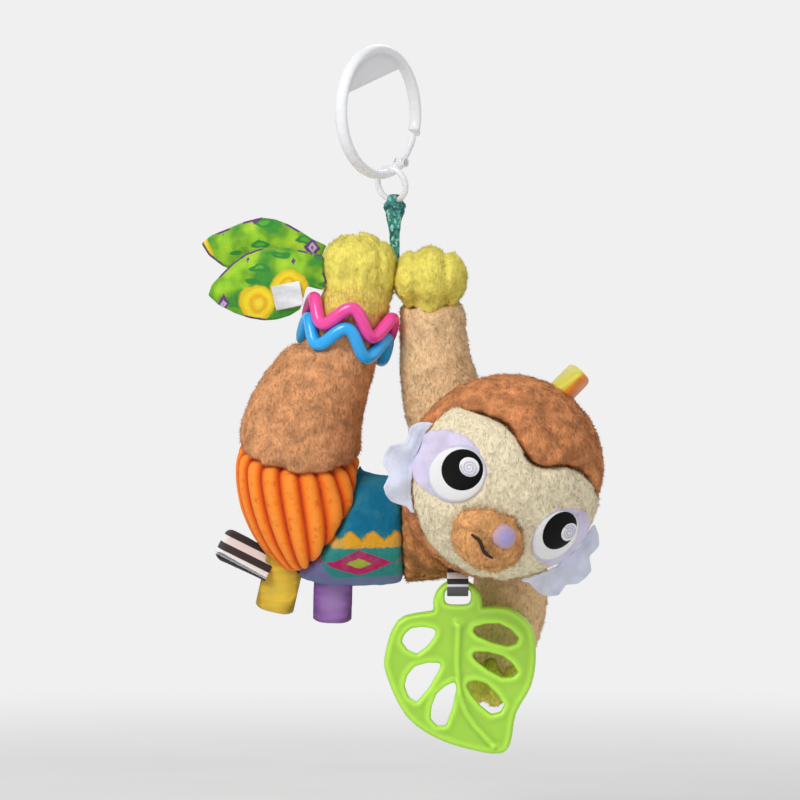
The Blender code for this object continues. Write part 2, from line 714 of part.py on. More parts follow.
def oval(centre, size, count=24, fullness=1.0):
    """An oval outline; a smaller fullness squares its corners."""
    outline = []
    for i in range(count):
        angle = 2 * math.pi * i / count
        across = math.copysign(abs(math.cos(angle)) ** fullness, math.cos(angle))
        up = math.copysign(abs(math.sin(angle)) ** fullness, math.sin(angle))
        outline.append((centre[0] + size[0] * across, centre[1] + size[1] * up))
    return outline


def face_layer(name, outline, low, high, colour, parts, cutters):
    """A sewn or stitched patch that follows the head's curve, between two heights over it."""
    patch = head_shape(name, high, parts)
    frame = Matrix.Translation((0, -HEAD_RADIUS, 0))
    prism = slab("outline_" + name, outline, 2 * HEAD_RADIUS - 2 * FACE_FRONT_DEPTH, cutters, frame=frame)
    patch = boolean(patch, prism, "INTERSECT", parts)
    patch = boolean(patch, head_shape("under_" + name, low, cutters), "DIFFERENCE", parts)
    return dress(largest_body(patch), colour)


def mirrored(point, side):
    return (point[0] * side, point[1])


def make_face(parts, cutters):
    """The head's two cloths, and what is sewn on the face, all in the head's frame."""
    half = [(x * HEAD_RADIUS, z * HEAD_RADIUS) for x, z in HAIRLINE_SHARES]
    low = (half[-1][0], -half[-1][0])
    outline = [(-x, z) for x, z in reversed(half[1:])] + half + [low, (-low[0], low[1])]
    reach = 2 * HEAD_RADIUS
    frame = Matrix.Translation((0, -FACE_FRONT_DEPTH - reach / 2, 0))
    front = slab("face_outline", outline, reach, cutters, frame=frame)
    crown = boolean(head_shape("crown", 0, parts), front, "DIFFERENCE", parts)
    frame = Matrix.Translation((0, -FACE_FRONT_DEPTH - SEAM_GAP - reach / 2, 0))
    inner = [(x, z - SEAM_GAP) for x, z in outline]
    front = slab("face_inner", inner, reach, cutters, frame=frame)
    face = boolean(head_shape("face_panel", 0, parts), front, "INTERSECT", parts)
    pieces = [dress(crown, "#b06a38"), dress(face, "#e6dcb8")]

    skin = head_shape("skin", CLEARANCE, cutters)
    frills = []
    for side_name, side in (("left", -1), ("right", 1)):
        edge = smooth_outline([(x * HEAD_RADIUS * side, z * HEAD_RADIUS) for x, z in FRILL_SHARES], 2)
        frame = Matrix.Translation((0, -FRILL_FORWARD, 0))
        frill = slab(side_name + "_ear_frill", edge, FRILL_THICKNESS, parts, FRILL_THICKNESS / 4, frame)
        inside = copy_mesh(skin, "skin_" + side_name, cutters)
        frill = largest_body(boolean(frill, inside, "DIFFERENCE", parts))
        frills.append(dress(frill, "#d5dcf0"))
    pieces += frills

    lowest = CLEARANCE
    layers = (("eye_patch", PATCH_PLACE, PATCH_SIZE, "#d9cdee"),
              ("eye_white", WHITE_PLACE, WHITE_SIZE, "#f6f6f8"),
              ("iris", IRIS_PLACE, IRIS_SIZE, "#111111"),
              ("eye_glint", GLINT_PLACE, GLINT_SIZE, "#f0f2f6"))
    for kind, middle, size, colour in layers:
        highest = lowest + LAYER
        for side_name, side in (("left", -1), ("right", 1)):
            centre = middle if kind == "eye_glint" and side > 0 else mirrored(middle, side)
            if kind == "eye_glint" and side < 0:
                centre = (middle[0] - 2 * IRIS_PLACE[0], middle[1])
            shape = oval(centre, size)
            layer = face_layer(side_name + "_" + kind, shape, lowest, highest, colour, parts, cutters)
            if kind == "eye_patch":
                layer = carve(layer, frills, parts, cutters)
            pieces.append(layer)
        lowest = highest + CLEARANCE

    centre = Vector((MUZZLE_PLACE[0], -face_front(MUZZLE_PLACE), MUZZLE_PLACE[1]))
    muzzle = ball("muzzle", centre, MUZZLE_SIZE, parts, sides=24, rings=12)
    muzzle = largest_body(boolean(muzzle, skin, "DIFFERENCE", parts))
    muzzle_skin = ball("muzzle_skin", centre, [size + CLEARANCE for size in MUZZLE_SIZE], cutters)

    def on_muzzle(point):
        share = ((point[0] - centre.x) / MUZZLE_SIZE[0]) ** 2 + ((point[1] - centre.z) / MUZZLE_SIZE[2]) ** 2
        return centre.y - MUZZLE_SIZE[1] * math.sqrt(max(0, 1 - share))

    nose_centre = Vector((NOSE_PLACE[0], on_muzzle(NOSE_PLACE), NOSE_PLACE[1]))
    nose = ball("nose", nose_centre, NOSE_SIZE, parts, sides=20, rings=12)
    nose = largest_body(boolean(nose, muzzle_skin, "DIFFERENCE", parts))
    lift = SMILE_RADIUS + CLEARANCE
    mouth = [Vector((x, on_muzzle((x, z)) - lift, z)) for x, z in SMILE_ROUTE]
    smile = tube("smile_stitch", mouth, [SMILE_RADIUS] * len(mouth), parts, sides=1)
    smile = largest_body(boolean(smile, muzzle_skin, "DIFFERENCE", parts))
    pieces += [dress(muzzle, "#dca06a"), dress(nose, "#b3a2dd"), dress(smile, "#3a2418")]

    frame = head_frame()
    for piece in pieces:
        to_world(piece, frame)
    to_world(skin, frame)
    return pieces, skin


# Ribbon tags, leaves and label

def ribbon_tag(name, ends, width, depth, colour, parts, cutters, carriers, turn=0.0):
    """A ribbon folded double into an open loop, with both of its ends sewn into a seam."""
    root = place(ends[0], depth)
    tip = place(ends[1], depth)
    length = (tip - root).length
    half = TAG_GAP / 2 + TAG_THICKNESS
    inner = TAG_GAP / 2
    outer = TAG_BELLY + TAG_THICKNESS
    bends = [math.pi * i / 6 for i in range(7)]
    outer_bend = [(outer * math.cos(bend), length - outer + outer * math.sin(bend)) for bend in bends]
    inner_bend = [(TAG_BELLY * math.cos(bend), length - outer + TAG_BELLY * math.sin(bend))
                  for bend in reversed(bends)]
    outline = [(half, 0)] + outer_bend + [(-half, 0), (-inner, 0)] + inner_bend + [(inner, 0)]
    up = (tip - root).normalized()
    back = Vector((0, 1, 0))
    across = up.cross(back)
    axes = Matrix((back, across, up)).transposed().to_4x4()
    frame = Matrix.Translation(root) @ axes @ Matrix.Rotation(turn, 4, "Z")
    tag = slab(name, outline, width, parts, frame=frame)
    return dress(carve(tag, carriers, parts, cutters), colour)


def leaf(name, outline, depth, colour, parts):
    edge = smooth_outline([(p.x, p.z) for p in (place(point) for point in outline)], 2)
    frame = Matrix.Translation((0, toy_depth(depth), 0))
    return dress(slab(name, edge, LEAF_THICKNESS, parts, rounding=LEAF_THICKNESS / 3, frame=frame), colour)


def make_label(parts):
    width, height, thickness = LABEL_SIZE
    corners = [(-width / 2, -height / 2), (width / 2, -height / 2),
               (width / 2, height / 2), (-width / 2, height / 2)]
    front = toy_depth(FRONT_LEAF_DEPTH) - LEAF_THICKNESS / 2 - CLEARANCE - thickness / 2
    frame = Matrix.Translation(place(LABEL_PLACE, front)) @ Matrix.Rotation(-LABEL_TURN, 4, "Y")
    return dress(slab("care_label", corners, thickness, parts, frame=frame), "#f0f0f0")


# Zigzag rings

def ankle_axis():
    spine = route(BODY_ROUTE)
    return (spine[2] - spine[0]).normalized()


def ring_centre(point):
    """The place on the ankle's axis that is nearest to a picture point."""
    ankle = route(BODY_ROUTE)[0]
    return ankle + ankle_axis() * (place(point, toy_depth()) - ankle).dot(ankle_axis())


def zigzag_ring(name, point, colour, parts):
    """A closed tube that zigzags round the ankle."""
    axis = ankle_axis()
    centre = ring_centre(point)
    across = axis.cross(Vector((0, 1, 0))).normalized()
    back = across.cross(axis)
    points = []
    count = ZIGZAG_WAVES * 4
    for i in range(count):
        angle = 2 * math.pi * i / count
        wave = math.cos(ZIGZAG_WAVES * angle + math.pi / 2)
        radial = across * math.cos(angle) + back * math.sin(angle)
        points.append(centre + radial * ZIGZAG_RADIUS + axis * wave * ZIGZAG_HEIGHT)
    ring = tube(name, points, [ZIGZAG_TUBE] * count, parts, sides=3, steps=2, closed=True)
    return dress(ring, colour, 0.3)


def ring_room(room, cutters, inside=False):
    """The round space that both rings sweep as they turn on the ankle, or what they leave inside it."""
    axis = ankle_axis()
    reach = ZIGZAG_HEIGHT + ZIGZAG_TUBE + room + (OVERRUN if inside else 0)
    start = ring_centre(PINK_PLACE) - axis * reach
    end = ring_centre(BLUE_PLACE) + axis * reach
    radius = ZIGZAG_RADIUS - ZIGZAG_TUBE - room if inside else ZIGZAG_RADIUS + ZIGZAG_TUBE + room
    return tube("ring_room", [start, end], [radius, radius], cutters, sides=14, straight=True)


def cut_ankle(leg, parts, cutters):
    """Draws the ankle in where the rings sit on it."""
    outside = ring_room(CLEARANCE, cutters)
    sleeve = boolean(outside, ring_room(CLEARANCE, cutters, inside=True), "DIFFERENCE", cutters)
    return largest_body(boolean(leg, sleeve, "DIFFERENCE", parts))


# Teether

def make_teether(parts, cutters):
    """The leaf, with six holes, a lug for its strap and a raised midrib."""
    depth = toy_depth(STRAP_DEPTH)
    frame = Matrix.Translation((0, depth, 0))

    def flat(points):
        return [(p.x, p.z) for p in (place(point) for point in points)]

    leaf_body = slab("leaf_teether", smooth_outline(flat(TEETHER_LEAF), 3), TEETHER_THICKNESS, parts,
                     rounding=TEETHER_EDGE, frame=frame)
    lug_place = place(LOOP_PLACE)
    lug = oval((lug_place.x, lug_place.z), (LUG_RADIUS, LUG_RADIUS), 28)
    lug = slab("lug", lug, TEETHER_THICKNESS, cutters, rounding=TEETHER_EDGE, frame=frame)
    leaf_body = boolean(leaf_body, lug, "UNION", parts)
    eye = oval((lug_place.x, lug_place.z + LUG_HOLE_RISE), LUG_HOLE_SIZE, 24, fullness=0.5)
    leaf_body = boolean(leaf_body, slab("lug_hole", eye, OVERRUN, cutters, frame=frame), "DIFFERENCE", parts)
    for i, hole in enumerate(TEETHER_HOLES):
        edge = smooth_outline(flat(hole), 2)
        tool = slab(f"leaf_hole_{i}", edge, OVERRUN, cutters, frame=frame)
        leaf_body = boolean(leaf_body, tool, "DIFFERENCE", parts)
    rib_route = [place(point, depth - TEETHER_THICKNESS / 2) for point in MIDRIB_ROUTE]
    rib = tube("midrib", rib_route, [MIDRIB_RADIUS] * len(rib_route), cutters, sides=2)
    leaf_body = boolean(leaf_body, rib, "UNION", parts)
    return dress(largest_body(leaf_body), "#a6dd3f", 0.45)


def strap_bar():
    """The middle of the lug's upper bar, which the strap's loop goes round."""
    bar = LUG_RADIUS - LUG_HOLE_RISE - LUG_HOLE_SIZE[1]
    middle = place(LOOP_PLACE, toy_depth(STRAP_DEPTH))
    return middle + Vector((0, 0, LUG_RADIUS - bar / 2))


def make_strap(parts):
    """A flat strap of two layers, whose lower end opens into a loop round the lug's bar."""
    middle = strap_bar()
    rise = place(STRAP_TOP).z - middle.z
    outer = STRAP_LOOP_RADIUS + STRAP_THICKNESS
    slit = CLEARANCE / 2
    lean = math.asin(STRAP_THICKNESS / outer)
    count = 20
    turns = [math.pi / 2 - lean - (2 * math.pi - 2 * lean) * i / count for i in range(count + 1)]
    outer_loop = [(outer * math.cos(turn), outer * math.sin(turn)) for turn in turns]
    inner_loop = [(STRAP_LOOP_RADIUS * math.cos(turn), STRAP_LOOP_RADIUS * math.sin(turn)) for turn in turns]
    outline = [(STRAP_THICKNESS, rise)] + outer_loop + [(-STRAP_THICKNESS, rise), (-slit, rise)]
    outline += [(-slit, outer)] + inner_loop[::-1] + [(slit, outer), (slit, rise)]
    frame = Matrix.Translation(middle) @ Matrix.Rotation(-math.pi / 2, 4, "Z")
    return dress(slab("teether_strap", outline, STRAP_WIDTH, parts, frame=frame), "#1a1a1a")


def joint_empty(name, place_at, collection):
    empty = bpy.data.objects.new(name, None)
    empty.location = place_at
    empty.empty_display_size = JOINT_MARK
    return link(empty, collection)


def hold(empty, pieces):
    """Parents the pieces to the empty that stands on their joint's axis."""
    for piece in pieces:
        piece.parent = empty
        piece.matrix_parent_inverse = Matrix.Translation(-empty.location)


def main():
    clear_scene()
    parts = new_collection("sloth_toy")
    cutters = new_collection("sloth_toy_cutters", hidden=True)
    ring, gate, pin = make_ring(parts, cutters)
    ribbon = make_ribbon(parts, cutters, ring)
    leg, rump, panel, chest = make_body(parts, cutters)
    foot, hand, low_hand = make_mitts(parts)
    raised, hanging = make_arms(parts)
    face, skin = make_face(parts, cutters)

    leg = cut_ankle(carve(leg, [foot], parts, cutters, MITT_GAP), parts, cutters)
    hand = carve(hand, [foot], parts, cutters)
    room = ring_room(CLEARANCE, cutters)
    leaf_room = ring_room(LEAF_ROOM, cutters)
    raised = carve(raised, [hand, foot], parts, cutters, MITT_GAP)
    raised = carve(raised, [chest, skin, leg, room], parts, cutters)
    arm_form = copy_mesh(hanging, "arm_form", cutters)
    low_arm = carve(hanging, [low_hand], parts, cutters, MITT_GAP)
    shoulder = place(HANGING_ARM_ROUTE[0], toy_depth(ARM_DEPTH))
    swings = [ARM_SWING * share for share in (-1, -0.5, 0, 0.5, 1)]
    low_arm = carve_sweep(low_arm, skin, shoulder, "Y", swings[::2], parts, cutters)
    chest = carve(chest, [skin], parts, cutters)
    ribbon_foot = make_ribbon_foot(parts, cutters, [foot, hand])
    chest = carve_sweep(chest, arm_form, shoulder, "Y", swings[::2], parts, cutters)

    front_leaf = leaf("leaf_front", FRONT_LEAF, FRONT_LEAF_DEPTH, "#8cc81e", parts)
    back_leaf = leaf("leaf_back", BACK_LEAF, BACK_LEAF_DEPTH, "#8cc81e", parts)
    label = make_label(parts)
    flaps = [LEAF_FLAP * share for share in (-1, 0, 1)]
    leaves = []
    for piece, depth, base in ((front_leaf, FRONT_LEAF_DEPTH, FRONT_LEAF_BASE),
                               (back_leaf, BACK_LEAF_DEPTH, BACK_LEAF_BASE)):
        low, high = (place(point, toy_depth(depth)) for point in base)
        axis = (high - low).normalized()
        piece = carve_sweep(piece, foot, high, axis, flaps, parts, cutters)
        piece = carve(piece, [leg], parts, cutters, LEAF_ROOM)
        leaves.append((carve(piece, [leaf_room], parts, cutters), high))
    label = carve(label, [leaf_room], parts, cutters)

    pink = zigzag_ring("pink_ring", PINK_PLACE, "#e0359a", parts)
    blue = zigzag_ring("blue_ring", BLUE_PLACE, "#1594d4", parts)

    body_depth = toy_depth(BODY_TAG_DEPTH)
    head_tag = ribbon_tag("head_tag", HEAD_TAG, HEAD_TAG_WIDTH, toy_depth(HEAD_DEPTH), "#d2c83a",
                          parts, cutters, [skin])
    tags = []
    for name, ends, colour, turn in (("striped_tag", STRIPED_TAG, "#222222", STRIPED_TAG_TURN),
                                     ("yellow_tag", YELLOW_TAG, "#d8b01e", 0),
                                     ("purple_tag", PURPLE_TAG, "#8a55a5", 0)):
        tags.append(ribbon_tag(name, ends, BODY_TAG_WIDTH, body_depth, colour, parts, cutters,
                               [rump, panel], turn))
    teether = make_teether(parts, cutters)
    strap = make_strap(parts)

    pivot = ring_frame() @ on_ring(GATE_END, RING_RADIUS - RING_BAR / 2)
    ribbon_end = ribbon_bar() + Vector((0, 0, -RIBBON_LENGTH - CLEARANCE / 2))
    head_middle = place(HEAD_PLACE, toy_depth(HEAD_DEPTH))
    strap_top = place(STRAP_TOP, toy_depth(STRAP_DEPTH))
    held = {"gate_axis": (pivot, [gate]), "swing_axis": (ribbon_bar(), [ribbon]),
            "twist_axis": (ribbon_end, [ribbon_foot, foot, hand, leg, rump, panel, chest, raised] + tags),
            "head_axis": (head_middle, face + [head_tag]), "shoulder_axis": (shoulder, [low_arm, low_hand]),
            "zigzag_axis": (ring_centre(PINK_PLACE), [pink, blue]),
            "front_leaf_axis": (leaves[0][1], [leaves[0][0], label]),
            "back_leaf_axis": (leaves[1][1], [leaves[1][0]]),
            "strap_axis": (strap_top, [strap]), "teether_axis": (strap_bar(), [teether])}
    for name, (place_at, pieces) in held.items():
        hold(joint_empty(name, place_at, parts), pieces)


if __name__ == "__main__":
    main()
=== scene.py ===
"""A plush sloth activity toy on a ring clip, dressed piece by piece.

Every piece is a separate object that rides on a body of the loaded frame.
All sizes are in metres unless a name says otherwise.
"""
import json
import math

import bmesh
import bpy
import numpy as np
from mathutils import Matrix, Vector
from mathutils.kdtree import KDTree


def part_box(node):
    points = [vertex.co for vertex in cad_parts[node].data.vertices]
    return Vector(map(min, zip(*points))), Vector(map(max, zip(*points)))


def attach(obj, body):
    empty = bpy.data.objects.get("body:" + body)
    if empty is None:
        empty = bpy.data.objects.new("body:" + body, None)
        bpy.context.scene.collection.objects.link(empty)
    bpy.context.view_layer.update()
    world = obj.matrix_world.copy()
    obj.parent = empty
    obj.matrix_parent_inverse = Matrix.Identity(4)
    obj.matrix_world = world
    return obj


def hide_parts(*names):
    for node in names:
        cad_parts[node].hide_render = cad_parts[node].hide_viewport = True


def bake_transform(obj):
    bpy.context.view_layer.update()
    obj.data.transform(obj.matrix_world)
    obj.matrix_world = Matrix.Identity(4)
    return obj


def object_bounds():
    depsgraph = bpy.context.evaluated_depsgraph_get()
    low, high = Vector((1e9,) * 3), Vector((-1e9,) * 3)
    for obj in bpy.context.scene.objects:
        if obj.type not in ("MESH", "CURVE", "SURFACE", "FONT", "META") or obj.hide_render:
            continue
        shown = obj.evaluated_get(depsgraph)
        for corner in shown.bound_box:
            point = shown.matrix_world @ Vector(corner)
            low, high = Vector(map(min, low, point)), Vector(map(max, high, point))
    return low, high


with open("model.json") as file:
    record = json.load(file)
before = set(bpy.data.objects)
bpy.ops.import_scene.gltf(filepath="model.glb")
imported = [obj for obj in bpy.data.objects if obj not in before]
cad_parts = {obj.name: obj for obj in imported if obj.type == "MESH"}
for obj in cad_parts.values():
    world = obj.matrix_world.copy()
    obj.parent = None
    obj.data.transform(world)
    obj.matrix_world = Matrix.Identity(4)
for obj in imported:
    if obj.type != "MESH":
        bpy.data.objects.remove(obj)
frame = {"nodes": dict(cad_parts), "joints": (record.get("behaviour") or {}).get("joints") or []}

bl_info = {
    "name": "Plush sloth hanging toy",
    "version": (1, 0, 0),
    "blender": (4, 5, 0),
    "location": "3D View > Sidebar > Sloth toy",
    "description": "Makes the cloth, plush, ribbon and plastic pieces of a hanging sloth toy",
    "category": "Object",
}

CAD_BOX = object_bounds()
MM = 0.001
POINT = 1.333 * MM  # one picture point, on the toy
HANG_POINT = (246.1, 75.7)  # where the origin lies in the picture
RIBBON_BAR = Vector((10.32, 14.2, -57.43)) * MM  # where the ribbon runs through the ring's eyelet
BRIGHTEST = 250  # the highest colour level that a finish uses, out of 255


# Sizes and colours

def length(name, description, millimetres):
    return bpy.props.FloatProperty(name=name, description=description, default=millimetres * MM,
                                   unit="LENGTH")


def colour(name, value):
    description = "sRGB hex colour of the " + name.lower()
    return bpy.props.StringProperty(name=name, description=description, default=value)


class SlothSizes(bpy.types.PropertyGroup):
    """The sizes that a maker would change."""

    stuffing_cell: length("Stuffing cell", "Cell of the coarse mesh that is blown up with stuffing", 3.2)
    plastic_cell: length("Plastic cell", "Cell of the fine mesh of moulded pieces", 0.5)
    puff: length("Puff", "The most that stuffing pushes the cloth out", 1.6)
    tuft_width: length("Tuft width", "Width of one tuft of matted pile", 6)
    tuft_height: length("Tuft height", "How far a tuft stands out", 0.8)
    fibre_length: length("Fibre length", "Length of a clump of pile", 1.7)
    fibre_width: length("Fibre width", "Width of a clump of pile at its root", 0.42)
    stripe: length("Stripe", "Width of one black or white stripe", 3.4)
    thread: length("Embroidery thread", "Width of one row of satin stitch, drawn coarse enough to show", 0.6)
    fibres_per_cm2: bpy.props.FloatProperty(
        name="Clumps of pile", description="Clumps of pile on each square centimetre", default=110)


class SlothColours(bpy.types.PropertyGroup):
    """The cloth, thread and plastic colours."""

    ring: colour("Ring", "#eff0f3")
    yellow_plush: colour("Yellow plush", "#f9e970")
    leg_plush: colour("Leg plush", "#b5815a")
    chest_plush: colour("Chest plush", "#96663f")
    crown_plush: colour("Crown plush", "#a66e48")
    beige_plush: colour("Beige plush", "#d2b187")
    cream_plush: colour("Cream plush", "#f0e3c2")
    muzzle_plush: colour("Muzzle plush", "#cf9964")
    corduroy: colour("Corduroy", "#f57a14")
    teal_plush: colour("Teal plush", "#2f8783")
    lavender: colour("Lavender velour", "#ddd3ef")
    frill: colour("Frill satin", "#e0e4f6")
    nose: colour("Nose thread", "#b9abdf")
    pink: colour("Pink ring", "#e03c94")
    blue: colour("Blue ring", "#1597d8")
    teether: colour("Leaf teether", "#a9dc48")
    leaf_green: colour("Leaf green", "#8cca26")


def sizes():
    return bpy.context.scene.sloth_sizes


def tone(name):
    return getattr(bpy.context.scene.sloth_colours, name)


# Material helpers

def linear(hex_colour):
    """An sRGB hex colour as the linear colour that a shader takes."""
    parts = [int(hex_colour[i:i + 2], 16) / 255 for i in (1, 3, 5)]
    return (*[c / 12.92 if c <= 0.04045 else ((c + 0.055) / 1.055) ** 2.4 for c in parts], 1)


def shade(hex_colour, factor):
    """The same hue, darker below 1 and brighter above it, as far as it can go."""
    parts = [int(hex_colour[i:i + 2], 16) for i in (1, 3, 5)]
    parts = [c * min(factor, BRIGHTEST / max(parts)) for c in parts]
    return "#" + "".join(f"{round(c):02x}" for c in parts)


def per(millimetres):
    """The scale of a texture whose spots are about that wide."""
    return 0.5 / (millimetres * MM)


def add(tree, kind, settings, out=0):
    """Adds a node. A text key names a setting or an input, a number an input by order; stops fill a ramp."""
    made = tree.nodes.new("ShaderNode" + kind)
    for key, value in settings.items():
        if key == "stops":
            while len(made.color_ramp.elements) < len(value):
                made.color_ramp.elements.new(0.5)
            for element, (at, stop) in zip(made.color_ramp.elements, value):
                element.position = at
                element.color = linear(stop)
        elif isinstance(key, str) and hasattr(made, key):
            setattr(made, key, value)
        elif isinstance(value, bpy.types.NodeSocket):
            tree.links.new(value, made.inputs[key])
        else:
            made.inputs[key].default_value = linear(value) if isinstance(value, str) else value
    return made.outputs[out]


def start_finish(name, roughness, settings, *sources):
    """A new material, its tree and the piece's own coordinates, and then the values that are asked for.

    A text asks for what the piece's vertices note under that name, and a pair of numbers asks for a noise,
    by the width of its spots in millimetres and its detail.
    """
    material = bpy.data.materials.new(name)
    material.use_nodes = True
    tree = material.node_tree
    shader = tree.nodes["Principled BSDF"]
    shader.inputs["Roughness"].default_value = roughness
    for key, value in settings.items():
        shader.inputs[key].default_value = linear(value) if isinstance(value, str) else value
    where = add(tree, "TexCoord", {}, "Object")
    values = []
    for source in sources:
        if isinstance(source, str):
            values.append(add(tree, "Attribute", {"attribute_name": source}, "Fac"))
        else:
            wide, detail = source
            values.append(add(tree, "TexNoise", {"Vector": where, "Scale": per(wide), "Detail": detail}))
    return material, tree, where, *values


def end_finish(material, cloth, layers, height, depth_mm, strength=1.0):
    """Lays the layers over the cloth's colour, and joins the colour and the height to the shader.

    A layer is a value, the levels of it where the layer starts and is whole, its most cover and its colour.
    """
    tree = material.node_tree
    shader = tree.nodes["Principled BSDF"]
    for value, start, whole, most, tint in layers:
        cover = add(tree, "MapRange", {"Value": value, "From Min": start, "From Max": whole, "To Max": most})
        cloth = add(tree, "Mix", {"data_type": "RGBA", 0: cover, 6: cloth, 7: tint}, 2)
    tree.links.new(cloth, shader.inputs["Base Color"])
    normal = add(tree, "Bump", {"Height": height, "Distance": depth_mm * MM, "Strength": strength})
    tree.links.new(normal, shader.inputs["Normal"])
    return material


# Finishes

def minky_plush(name, base, contrast=0.22, second=None):
    """Polyester plush with a short matted pile: dull, with a painted highlight on the fibre tips, painted
    shade at their roots and a soft rim of light.

    Pile shades itself, so each fibre is paler than the cloth looks. A second colour may be dyed in.
    """
    fibre = shade(base, 1.25)
    material, tree, where, tufts, tip = start_finish(name, 0.95, {
        "Sheen Weight": 0.2, "Sheen Tint": shade(base, 1.5), "Specular IOR Level": 0.15}, (3, 3), "tip")
    lain = add(tree, "Mapping", {"Vector": where, "Scale": (1, 1, 0.4)})
    strands = add(tree, "TexNoise", {"Vector": lain, "Scale": per(0.5), "Detail": 2})
    cloth = add(tree, "ValToRGB", {"Fac": tufts, "stops": (
        (0.3, shade(fibre, 1 - contrast * 0.7)), (0.5, fibre), (0.7, shade(fibre, 1 + contrast)))})
    # Painted light: the tip layer paints each fibre paler towards its tip as a highlight, over painted shade
    # at its root.
    layers = [(strands, 0.6, 0.4, 0.22, shade(fibre, 1 - contrast * 1.6)),
              (tip, 0, 1, 0.45, shade(fibre, 1 + contrast))]
    if second:
        layers.append((add(tree, "Attribute", {"attribute_name": "cuff"}, "Fac"), 0, 1, 1, second))
    height = add(tree, "Math", {"operation": "ADD", 0: tufts, 1: strands})
    return end_finish(material, cloth, layers, height, 0.6)


def corduroy_velvet(name, base):
    """Wide-wale cotton corduroy: velvety wales with a painted highlight on their tops, deep red-orange
    painted shade in the valleys, and fine flecks.
    """
    material, tree, _, relief, blotches, flecks, nap = start_finish(
        name, 0.8, {"Sheen Weight": 0.3, "Sheen Tint": "#ffb27a", "Specular IOR Level": 0.25},
        "relief", (3, 3), (1.5, 2), (0.35, 2))
    # Painted light: the wales are painted paler on their tops as a highlight and red-orange in the valleys as
    # shade.
    cloth = add(tree, "ValToRGB", {"Fac": relief, "stops": (
        (0.05, "#a83208"), (0.4, "#e2560c"), (0.72, base), (1.0, "#ff9636"))})
    layers = ((blotches, 0.55, 0.75, 0.5, "#d9600c"), (flecks, 0.58, 0.74, 0.45, "#c9560c"))
    return end_finish(material, cloth, layers, nap, 0.3, 0.8)


def printed_plush(name, base):
    """Teal plush with a printed border: a mustard band with teeth over magenta diamonds with lime middles."""
    material, tree, where, around, soft, cloud = start_finish(
        name, 0.92, {"Sheen Weight": 0.2, "Sheen Tint": shade(base, 1.6), "Specular IOR Level": 0.2},
        "around", (1.2, 3), (5, 2))
    across = add(tree, "SeparateXYZ", {"Vector": where})
    fuzz = add(tree, "MapRange", {"Value": soft, "To Min": -1.4 * MM, "To Max": 1.4 * MM})
    down = add(tree, "Math", {"operation": "ADD", 0: around, 1: fuzz})
    slide = add(tree, "Math", {"operation": "ADD", 0: across, 1: fuzz})
    teeth = add(tree, "Math", {"operation": "PINGPONG", 0: slide, 1: 5.5 * MM})
    top = add(tree, "Math", {"operation": "SUBTRACT", 0: down, 1: teeth})
    shifted = add(tree, "Math", {"operation": "ADD", 0: slide, 1: 6.8 * MM})
    repeat = add(tree, "Math", {"operation": "PINGPONG", 0: shifted, 1: 17 * MM})
    below = add(tree, "Math", {"operation": "SUBTRACT", 0: down, 1: 20 * MM})
    drop = add(tree, "Math", {"operation": "ABSOLUTE", 0: below})
    rhomb = add(tree, "Math", {"operation": "MULTIPLY_ADD", 0: drop, 1: 1.9, 2: repeat})
    corner = add(tree, "Math", {"operation": "MULTIPLY_ADD", 0: down, 1: -0.6, 2: slide})
    cloth = add(tree, "ValToRGB", {"Fac": soft, "stops": (
        (0.3, shade(base, 0.75)), (0.55, base), (0.75, shade(base, 1.3)))})
    layers = [(value, (edge - blur) * MM, (edge + blur) * MM, 1, tint) for value, edge, blur, tint in (
        (down, 3, -3, "#0f6c90"), (top, 0.4, 0.4, "#c98a18"), (top, 1.6, 0.4, "#e2a42a"),
        (down, 10.4, 0.5, base), (down, 31, 1.5, "#7768a2"), (corner, -38, -1.5, "#7768a2"),
        (rhomb, 16.5, -0.5, "#b81c60"), (rhomb, 6.2, -0.4, "#a9b43a"))]
    layers.append((cloud, 0.45, 0.7, 0.3, "#4f9a8e"))
    return end_finish(material, cloth, layers, soft, 0.6)


def weave(tree, where, thread_mm):
    """Over-and-under threads across the cloth, as a height."""
    waves = []
    for way in ((1, 0.1, 0.25), (-0.25, 0.1, 1)):
        along = add(tree, "VectorMath", {"operation": "DOT_PRODUCT", 0: where, 1: way}, "Value")
        turns = add(tree, "Math", {"operation": "MULTIPLY", 0: along, 1: math.pi / (thread_mm * MM)})
        waves.append(add(tree, "Math", {"operation": "SINE", 0: turns}))
    return add(tree, "Math", {"operation": "MULTIPLY", 0: waves[0], 1: waves[1]})


